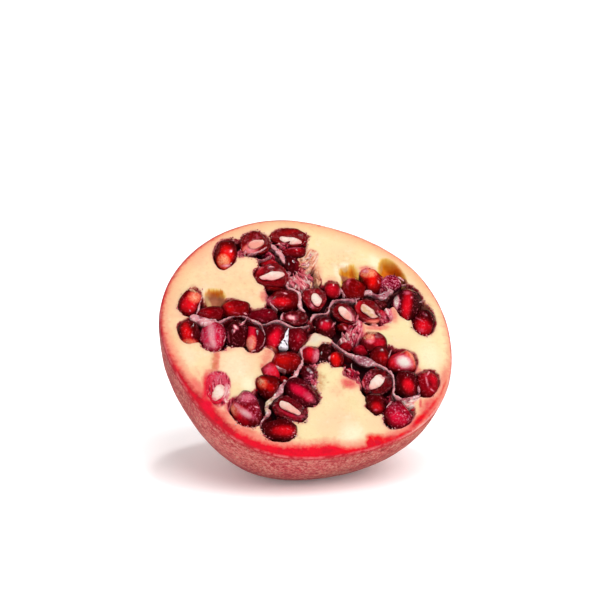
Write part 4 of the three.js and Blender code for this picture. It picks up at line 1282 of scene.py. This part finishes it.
# Each scrap: middle, half width, half length, lean, how high its top is, and its looks.
SCRAPS = {
    "scrap_upper_left": (-7.4, 27.2, 3, 1.8, 0, 0.2, dict(
        base=0.5, crimson=0.2, glow=[(-8, 28.2, 1.6, 1, 0, 0.5)])),
    "scrap_upper_left_low": (-7, 18.6, 3.6, 2, 0, -0.1, dict(base=0.42)),
    "scrap_middle_high": (11.8, 2.2, 2.2, 1.8, 0, 0, dict(
        base=0.3, frost=[(12.4, 3.6, 1.4, 0.3, 20, 0.7), (12, 1.4, 0.4, 0.8, -20, 0.9)])),
    "scrap_middle": (11.2, -5, 2.2, 1.9, 0, 0, dict(
        base=0.42, crimson=0.4, glow=[(11.8, -4.4, 1.4, 1, 0, 0.5)])),
    "scrap_middle_low": (15.4, -6.6, 2.4, 2.2, 0, 0.1, dict(
        base=0.45, crimson=0.6, glow=[(15.4, -6.6, 1.2, 1.2, 0, 0.6)],
        frost=[(14.6, -4.8, 0.3, 1.2, 20, 0.6)])),
    "scrap_right": (24.2, 6.2, 2, 2.4, -10, 0.3, dict(
        base=0.55, crimson=0.5, glow=[(24.4, 5.6, 1.6, 2, 0, 0.6)],
        frost=[(25.2, 4.6, 0.9, 1.6, -20, 0.5)])),
    "scrap_right_high": (24.6, 10.4, 2.6, 2.2, 0, -0.2, dict(base=0.1)),
    "scrap_lower": (11, -14.6, 1.7, 2.2, -15, 0.1, dict(
        base=0.6, crimson=1, glow=[(11, -14.4, 1.4, 1.6, 0, 0.8)])),
    "scrap_bottom": (19.6, -25.2, 1.8, 1.8, 0, -0.2, dict(base=0.05)),
    "scrap_left": (-9.6, -15.4, 1.8, 1.8, 0, -0.3, dict(base=0.35)),
    "scrap_lower_left": (-12.2, -28.8, 1.8, 1.6, 0, -0.3, dict(base=0.12)),
}
SCRAP_RINGS, SCRAP_SIDES, SCRAP_DEPTH = 14, 28, 1.6


def ball(rings, sides):
    """A ball of radius 1: its points, in rings from the top down and then its ends, and its faces."""
    slopes = np.linspace(0, math.pi, rings + 2)[1:-1]
    around = np.linspace(0, 2 * math.pi, sides, endpoint=False)
    points = np.stack([
        np.outer(np.sin(slopes), np.cos(around)).reshape(-1),
        np.outer(np.sin(slopes), np.sin(around)).reshape(-1),
        np.repeat(np.cos(slopes), sides)], axis=1)
    points = np.concatenate([points, [[0, 0, 1], [0, 0, -1]]])
    # The rings run down, so every face is turned over to look outward.
    return points, [face[:1] + face[:0:-1] for face in capped_quads(rings, sides)]


round_scrap, quads = ball(SCRAP_RINGS, SCRAP_SIDES)
for order, (name, scrap) in enumerate(SCRAPS.items()):
    x, y, half_width, half_length, lean, level, looks = scrap
    turn = math.radians(lean)
    aside, along, rise = (round_scrap * (half_width, half_length, SCRAP_DEPTH)).T
    points = np.stack([x + aside * math.cos(turn) + along * math.sin(turn),
                       y - aside * math.sin(turn) + along * math.cos(turn),
                       level - SCRAP_DEPTH + rise], axis=1)
    roughen(points, 1.6, 0.3, 600 + 3 * order)
    piece = add_piece(name, from_face(points), quads)
    keep_looks(piece, points, (x, y), (half_width, half_length), looks)
    piece.data.materials.append(flesh.material)
    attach(piece, "root")
    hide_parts("husk")


# --- Beads of juice -------------------------------------------------------------------------
# Thin dark red juice that has run out of the cut arils. It lies in the gaps between them as
# small round beads that shine.

BEAD_COUNT, BEAD_RINGS, BEAD_SIDES = 170, 5, 9
# The smallest bead's radius in millimetres, and how much greater the largest one's is.
BEAD_RADIUS, BEAD_RANGE = 0.16, 0.34
bead_shape, bead_faces = ball(BEAD_RINGS, BEAD_SIDES)
chance = np.random.default_rng(950)
in_gap = np.argwhere((to_hollow > -1.1) & (to_hollow < -0.15) & (pulp < 0.2))
drops, glows, frosts = [], [], []
for _ in range(BEAD_COUNT):
    row, column = in_gap[chance.integers(len(in_gap))]
    size = BEAD_RADIUS + BEAD_RANGE * chance.uniform() ** 2
    stretch = np.exp(chance.normal(0, 0.3, 3)) * (1, 1, 0.8)
    middle = np.array([face_x[row, column], face_y[row, column], chance.uniform(-0.9, 0.1)])
    drops.append((middle + bead_shape * size * stretch, bead_faces))
    # Their red is a painted glow, and one bead in four is painted cream white as a glint.
    glows.append(chance.uniform(0, 0.6))
    frosts.append(1.2 * (chance.uniform() < 0.25))
points, faces = join(drops)
beads = add_piece("juice_beads", from_face(points), faces)
none = np.zeros(len(points))
keep_values(
    beads, glow=np.repeat(glows, len(bead_shape)), frost=np.repeat(frosts, len(bead_shape)),
    warm=none, mush=none, skin=none - 1.0, crimson=none + 0.5)
beads.data.materials.append(flesh.material)
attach(beads, "root")
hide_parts("husk")


# --- The cut arils --------------------------------------------------------------------------
# Arils that the knife went through: a shallow cup of flesh, level with the pith, painted dark
# at its skin as shade and paler towards the seed.

CUT_LOOKS = {
    "upper_left_2": dict(
        base=0.25, warm=[(-12.8, 32.3, 1.7, 3, 42, 1.6)],
        frost=[(-11.8, 33.2, 1.7, 3.2, 42, 0.66), (-9.6, 37.2, 0.4, 1.4, 0, 0.4)]),
    "upper_left_4": dict(
        base=0.35, crimson=0.3, glow=[(-10.8, 24.2, 1.6, 2.2, 30, 0.7)],
        frost=[(-7.4, 25.2, 1.1, 0.2, 0, 1)]),
    "upper_left_9": dict(
        base=0.08, crimson=0.5, frost=[(-3.8, 6.2, 1.3, 0.8, 20, 1.3), (-6.8, 6.4, 0.3, 1.6, 20, 0.7)]),
    "upper_right_1": dict(
        base=0.3, glow=[(0.5, 38.6, 4.4, 1, -8, 0.6)], frost=[(-2.2, 34, 1.6, 0.6, 0, 0.6)]),
    "upper_right_4": dict(
        base=0.3, crimson=0.4, glow=[(2.2, 13.4, 1.2, 3.4, 10, 0.55), (5.4, 15.6, 1.4, 1, 0, 0.5)],
        frost=[(3.3, 10.4, 0.8, 1.2, 0, 0.6)]),
    "right_3": dict(
        base=0.3, crimson=0.2, glow=[(17.6, 9.4, 1.4, 3.2, 10, 0.85), (22.8, 8, 1, 2, 0, 0.35)],
        warm=[(21.4, 2.9, 3, 1.2, 0, 0.9)]),
    "right_4": dict(
        base=0.2, crimson=0.3, glow=[(11, 8.6, 1.2, 1.4, 0, 0.45)],
        frost=[(14.6, 6.2, 0.6, 2.6, -15, 0.9)]),
    "bottom_5": dict(
        base=0.08, crimson=0.4, glow=[(13.2, -17.6, 1.4, 2, 0, 0.9)],
        mush=[(15.4, -17, 2.4, 2.6, 0, 0.8)],
        frost=[(16.6, -16.2, 1.2, 0.4, -30, 0.7), (15.2, -20.4, 0.9, 0.8, 0, 0.6)]),
    "bottom_9": dict(
        base=0.15, crimson=0.8, glow=[(-10.4, -27.9, 0.9, 3.6, -55, 0.8)],
        frost=[(-7, -29, 1.2, 0.5, 0, 0.5)]),
    "left_5": dict(
        base=0.85, crimson=0.6, glow=[(-30.4, -17, 9, 12, 0, 1.1)], mush=[(-28.6, -14.6, 2.8, 3, 0, 1)],
        frost=[(-28.8, -14.8, 2.8, 2.8, 0, 0.55), (-27.6, -19, 1.3, 3.4, 12, 0.95)]),
}

cut_flesh = Finish(
    "cut aril flesh", Roughness=0.14, IOR=1.2, Subsurface_Weight=0.06, Subsurface_Scale=0.0012,
    Subsurface_Radius=(1.0, 0.15, 0.1))
juice = cut_flesh.noise(800, 3.0, 0.6)
pulpy = cut_flesh.noise(1400, 3.0, 0.7)
crimson = cut_flesh.value("crimson")
inward = cut_flesh.value("inward") + 0.4 * (juice - 0.5)
glow = cut_flesh.value("glow") + 0.5 * (juice - 0.5)
# Light through the cut flesh is painted in lit and shaded copies of its red: a dark ring at its skin,
# dim red, and lit red where the glow marks are.
lit = cut_flesh.mix(crimson, seen(204, 12, 16), seen(224, 26, 66))
dim = cut_flesh.mix(crimson, seen(136, 0, 3), seen(130, 0, 20))
ring = cut_flesh.mix(inward.between(0.0, 0.3), seen(38, 0, 2), seen(86, 0, 4))
colour = cut_flesh.mix(glow.between(0.0, 0.5), ring, dim)
colour = cut_flesh.mix(glow.between(0.4, 1.0), colour, lit)
# Towards its foot painted light turns it bright red, and then its paler foot shows peach.
warm = cut_flesh.value("warm") + 0.4 * (juice - 0.5)
colour = cut_flesh.mix(warm.between(0.0, 0.4) * 0.8, colour, lit)
colour = cut_flesh.mix(warm.between(0.2, 1.0), colour, seen(248, 142, 120))
frost = cut_flesh.value("frost") + 0.8 * (pulpy - 0.5)
colour = cut_flesh.mix(frost.between(0.05, 0.55) * 0.8, colour, seen(230, 92, 116))
colour = cut_flesh.mix(frost.between(0.45, 1.0), colour, seen(252, 200, 200))
veins = cut_flesh.noise(480, 4.0, 0.75)
colour = cut_flesh.mix(veins.between(0.58, 0.7) * 0.5, colour, seen(236, 124, 134))
mush = cut_flesh.value("mush") * pulpy.between(0.46, 0.6)
mush_colour = cut_flesh.mix(pulpy.between(0.56, 0.68), seen(200, 56, 92), seen(244, 170, 176))
colour = cut_flesh.mix(mush, colour, mush_colour)
cut_flesh.drive(Base_Color=colour)
cut_flesh.bump(juice, 0.0003)

CUT_SIDES = 56
# A tangent that runs nearly along a direction sets no limit to it, so it counts as far out.
NEARLY_ALONG, FAR_OUT = 0.05, 99
# How much fuller the outline is than its CAD body, and how far past it the painted dim glow reaches.
FULLER, DIM_REACH = 1.05, 1.4
# The section of a cut aril from its hidden foot, up its skin and over its lip to the middle:
# how far out, how deep to the aril's own depth, and how high above the face in millimetres.
CUT_SECTION = [
    (0, 1, 0), (0.35, 0.9, 0), (0.65, 0.7, 0), (0.85, 0.42, 0), (0.96, 0.2, 0), (1, 0.06, 0),
    (0.98, 0, 0.2), (0.92, 0, 0.3), (0.84, 0, 0.2), (0.72, 0, -0.1), (0.55, 0, -0.4), (0.3, 0, -0.6),
    (0, 0, -0.65)]
for order, node in enumerate(cut_arils):
    looks = CUT_LOOKS[node.removeprefix("aril_")]
    corners = to_face(get_points(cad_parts[node]))
    angle = np.linspace(0, 2 * math.pi, CUT_SIDES, endpoint=False)
    direction = np.stack([np.cos(angle), np.sin(angle)], axis=1)
    # The outline keeps within every tangent of the CAD body, seen square to the face.
    support = (corners[:, :2] @ direction.T).max(axis=0)
    middle = (corners[:, :2].max(axis=0) + corners[:, :2].min(axis=0)) / 2
    room = support - direction @ middle
    facing = direction @ direction.T
    limit = np.where(facing > NEARLY_ALONG, room[None, :] / np.maximum(facing, NEARLY_ALONG), FAR_OUT)
    reach = limit.min(axis=1) * FULLER
    circle = np.concatenate([1.6 * direction, np.full((CUT_SIDES, 1), order)], axis=1)
    reach *= 1 + 0.08 * lattice_noise(circle, 1, 320)
    depth = -corners[:, 2].min()
    points, inwards = [], []
    for out, fall, rise in CUT_SECTION:
        place = middle + direction * (reach * out)[:, None]
        points.append(np.concatenate([place, np.full((CUT_SIDES, 1), rise - fall * depth)], axis=1))
        inwards.append(np.full(CUT_SIDES, 0.0 if fall else 1.0 - out))
    points = np.concatenate(points)
    inwards = np.concatenate(inwards)
    points[:, 2] += 0.12 * lattice_noise(points, 1.5, 300 + order)
    # The first and last rings are single points, and go last as the ends.
    points = np.concatenate([points[CUT_SIDES:-CUT_SIDES], points[:1], points[-1:]])
    inwards = np.concatenate([inwards[CUT_SIDES:-CUT_SIDES], inwards[:1], inwards[-1:]])
    quads = capped_quads(len(CUT_SECTION) - 2, CUT_SIDES)
    aril = add_piece(f"{node}.flesh", from_face(points), quads)
    size = (corners[:, :2].max(axis=0) - corners[:, :2].min(axis=0)) / 2
    keep_looks(aril, points, middle, size * DIM_REACH, looks)
    keep_values(aril, inward=inwards)
    aril.data.materials.append(cut_flesh.material)
    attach(aril, "root")
    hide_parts(node)


# --- The seeds ------------------------------------------------------------------------------
# Hard pale seeds, each grown in the middle of its aril. The knife sliced these ones level with
# the face, and they are wet with juice.

# How pink each seed is, how tan, how far it is turned in its aril in degrees, its stretch
# across and along the face, and how softly its outline fades into the flesh.
SEED_LOOKS = {
    "seed_upper_left_2": (0.9, 0.1, 45, 0.84, 1.5, 0.5),
    "seed_upper_left_4": (0.35, 0, 0, 1.14, 1.16, 0.1),
    "seed_upper_right_1": (0.3, 0, 0, 1.02, 1.12, 0.1),
    "seed_upper_right_4": (0.15, 0.1, 0, 1.02, 1.12, 0.1),
    "seed_right_3": (0.2, 0.85, -6, 1.02, 1.12, 0.1),
    "seed_right_4": (0.6, 0, 0, 1.02, 1.12, 0.2),
    "seed_bottom_5": (0.2, 0, 0, 1.02, 1.12, 0.1),
    "seed_bottom_9": (0.6, 0.1, 0, 1.02, 1.12, 0.25),
    "seed_left_5": (0.1, 0.35, 24, 1.02, 1.12, 0),
}

seed_coat = Finish("seed coat", Roughness=0.3, IOR=1.25, Subsurface_Weight=0.1, Subsurface_Scale=0.001)
seed_cloud = seed_coat.noise(500, 3.0, 0.6)
rise = seed_coat.value("height") + 1.1 * (seed_cloud - 0.5)
pinkness = seed_coat.value("pinkness") + 0.8 * (seed_cloud - 0.5)
top_colour = seed_coat.mix(pinkness.between(0.1, 0.9), seen(252, 232, 218), seen(246, 158, 142))
patchy = seed_coat.value("tanness") * seed_cloud.between(0.38, 0.56)
top_colour = seed_coat.mix(patchy, top_colour, seen(214, 166, 112))
colour = seed_coat.mix(rise.between(0.0, 0.25), seen(140, 8, 30), seen(226, 92, 104))
colour = seed_coat.mix(rise.between(0.25, 0.55), colour, seen(248, 184, 176))
colour = seed_coat.mix(rise.between(0.55, 0.95), colour, top_colour)
seed_grain = seed_coat.noise(1100, 4.0, 0.7)
colour = seed_coat.mix(seed_grain.between(0.52, 0.7) * 0.5, colour, seen(238, 160, 150))
seed_coat.drive(Base_Color=colour)
seed_coat.bump(0.5 * seed_cloud + 0.5 * seed_grain, 0.0005)

# How much higher a seed is than its plain body, and how far it stands out, in millimetres.
SEED_RISE, SEED_LIFT = 1.06, 0.2
for order, node in enumerate(seed_nodes):
    seed = rounded(node, f"{node}.coat", 3)
    points = to_face(get_points(seed))
    middle = (points.max(axis=0) + points.min(axis=0)) / 2
    pinkness, tanness, lean, wide, long, softness = SEED_LOOKS[node]
    turn = math.radians(lean)
    local = (points - middle) * np.array([wide, long, SEED_RISE])
    points = middle + np.stack([
        local[:, 0] * math.cos(turn) + local[:, 1] * math.sin(turn),
        local[:, 1] * math.cos(turn) - local[:, 0] * math.sin(turn), local[:, 2]], axis=1)
    points[:, 2] += SEED_LIFT
    roughen(points, 1.5, 0.25, 400 + 3 * order)
    set_points(seed, from_face(points))
    half = (points.max(axis=0) - points.min(axis=0)) / 2
    tilt = (points[:, 1] - middle[1]) / half[1]
    inside = 1 - np.hypot((points[:, 0] - middle[0]) / half[0], tilt)
    top_of_seed = points[:, 2].max()
    raised = step(top_of_seed - 1.0, top_of_seed - 0.1, points[:, 2])
    # Painted light and shade: each seed is paler towards its upper side, pinker towards its lower.
    keep_values(
        seed, height=softness + 0.15 * tilt + 1.1 * raised * (0.5 + 0.5 * step(0.0, 0.5, inside)),
        pinkness=pinkness - 0.4 * tilt, tanness=np.full(len(points), tanness))
    seed.data.materials.append(seed_coat.material)
    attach(seed, "root")
    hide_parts(node)


# --- The stem stub --------------------------------------------------------------------------
# The last of the woody stalk that the fruit hung from: rough brown bark, grown on the rind and
# cut off square above its dimple.

bark = Finish("stem bark", Roughness=0.8)
bark_grain = bark.noise(900, 4.0, 0.65)
bark.drive(Base_Color=bark.mix(bark_grain.between(0.35, 0.65), seen(92, 70, 36), seen(142, 118, 70)))
bark.bump(bark_grain, 0.0004)
stem = rounded("stem_stub", "stem_stub.bark", 3)
stem.data.materials.append(bark.material)
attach(stem, "root")
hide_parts("stem_stub")


# --- The table, light and camera ------------------------------------------------------------
# The half rests on a plain matt white table. A broad soft light stands above and in front of
# it, with a small lamp straight above and two more that make its wet skins shine, and it is seen
# through a long lens.

# The table glows very slightly of its own, which keeps the shadows pale.
table_finish = Finish(
    "table", Base_Color=(0.95, 0.94, 0.94, 1), Roughness=0.6, IOR=1.2, Emission_Strength=0.1)
HALF_TABLE, TABLE_TOP = 8.0, -0.0002
corners = [(x * HALF_TABLE, y * HALF_TABLE, TABLE_TOP) for x, y in ((-1, -1), (1, -1), (1, 1), (-1, 1))]
table = add_piece("table", corners, [[0, 1, 2, 3]], smooth=False)
table.data.materials.append(table_finish.material)
table.visible_glossy = False

scene = bpy.context.scene
scene.view_settings.view_transform = "Standard"
world = bpy.data.worlds.new("studio")
world.use_nodes = True
studio = Nodes(world.node_tree)
sky = studio.nodes["Background"]
sky.inputs["Color"].default_value = (1, 1, 1, 1)
# The room is bright all round and dimmer overhead.
compass = studio.node("ShaderNodeTexCoord", output="Generated")
upward = studio.node("ShaderNodeSeparateXYZ", {}, {0: compass}, output="Z")
brightness = studio.node("ShaderNodeMapRange", {}, {
    "Value": upward, "From Min": 0.2, "From Max": 0.8, "To Min": 1.4, "To Max": 0.4})
# Shiny skins mirror a dimmer room than the one that lights them.
mirrored = studio.node("ShaderNodeLightPath", output="Is Glossy Ray")
dimmer = studio.node("ShaderNodeMapRange", {}, {"Value": mirrored, "To Min": 1.0, "To Max": 0.15})
studio.links.new((brightness * dimmer).socket, sky.inputs["Strength"])
scene.world = world


def add_lamp(name, kind, place, shines_from, **settings):
    """A lamp at a place whose light comes from one direction."""
    lamp = bpy.data.lights.new(name, kind)
    for key, value in settings.items():
        setattr(lamp, key, value)
    holder = bpy.data.objects.new(name, lamp)
    holder.location = place
    holder.rotation_euler = Vector(shines_from).to_track_quat("Z", "Y").to_euler()
    scene.collection.objects.link(holder)
    return holder


# The main lamp stands high in front, and a smaller one straight above.
main_lamp = add_lamp(
    "main_lamp", "SUN", (0, 0, 0), (0.28, -0.66, 0.88), energy=2.6, angle=math.radians(48))
main_lamp.visible_glossy = False
top_lamp = add_lamp("top_lamp", "AREA", (0.05, 0.05, 0.95), (0, 0, 1), energy=2.7, size=0.12)
top_lamp.visible_glossy = False
# Two small lamps show only as glints on the wet skins.
for name, place in {"left_glint": (-0.35, -0.25, 0.85), "right_glint": (0.3, -0.1, 0.9)}.items():
    glint = add_lamp(name, "AREA", place, place, energy=3, size=0.045)
    glint.visible_diffuse = False

CAMERA_DISTANCE = 0.6
CAMERA_TURN = math.radians(-13)
CAMERA_RISE = math.radians(12)
LENS = 120.0
# The lens aims a little to the left of the face's middle and above it, in metres.
AIM_LEFT, AIM_ABOVE = 0.0022, 0.0101
face_middle = Vector(from_face([0, 0, 0]))
toward = Vector((math.sin(CAMERA_TURN) * math.cos(CAMERA_RISE),
                 -math.cos(CAMERA_TURN) * math.cos(CAMERA_RISE), math.sin(CAMERA_RISE)))
right = Vector((math.cos(CAMERA_TURN), math.sin(CAMERA_TURN), 0))
above = toward.cross(right)
camera_data = bpy.data.cameras.new("camera")
camera_data.lens = LENS
camera_data.sensor_width = 36.0
camera = bpy.data.objects.new("camera", camera_data)
camera.location = face_middle + toward * CAMERA_DISTANCE
aim = face_middle - right * AIM_LEFT + above * AIM_ABOVE
camera.rotation_euler = (aim - camera.location).to_track_quat("-Z", "Y").to_euler()
scene.collection.objects.link(camera)
scene.camera = camera
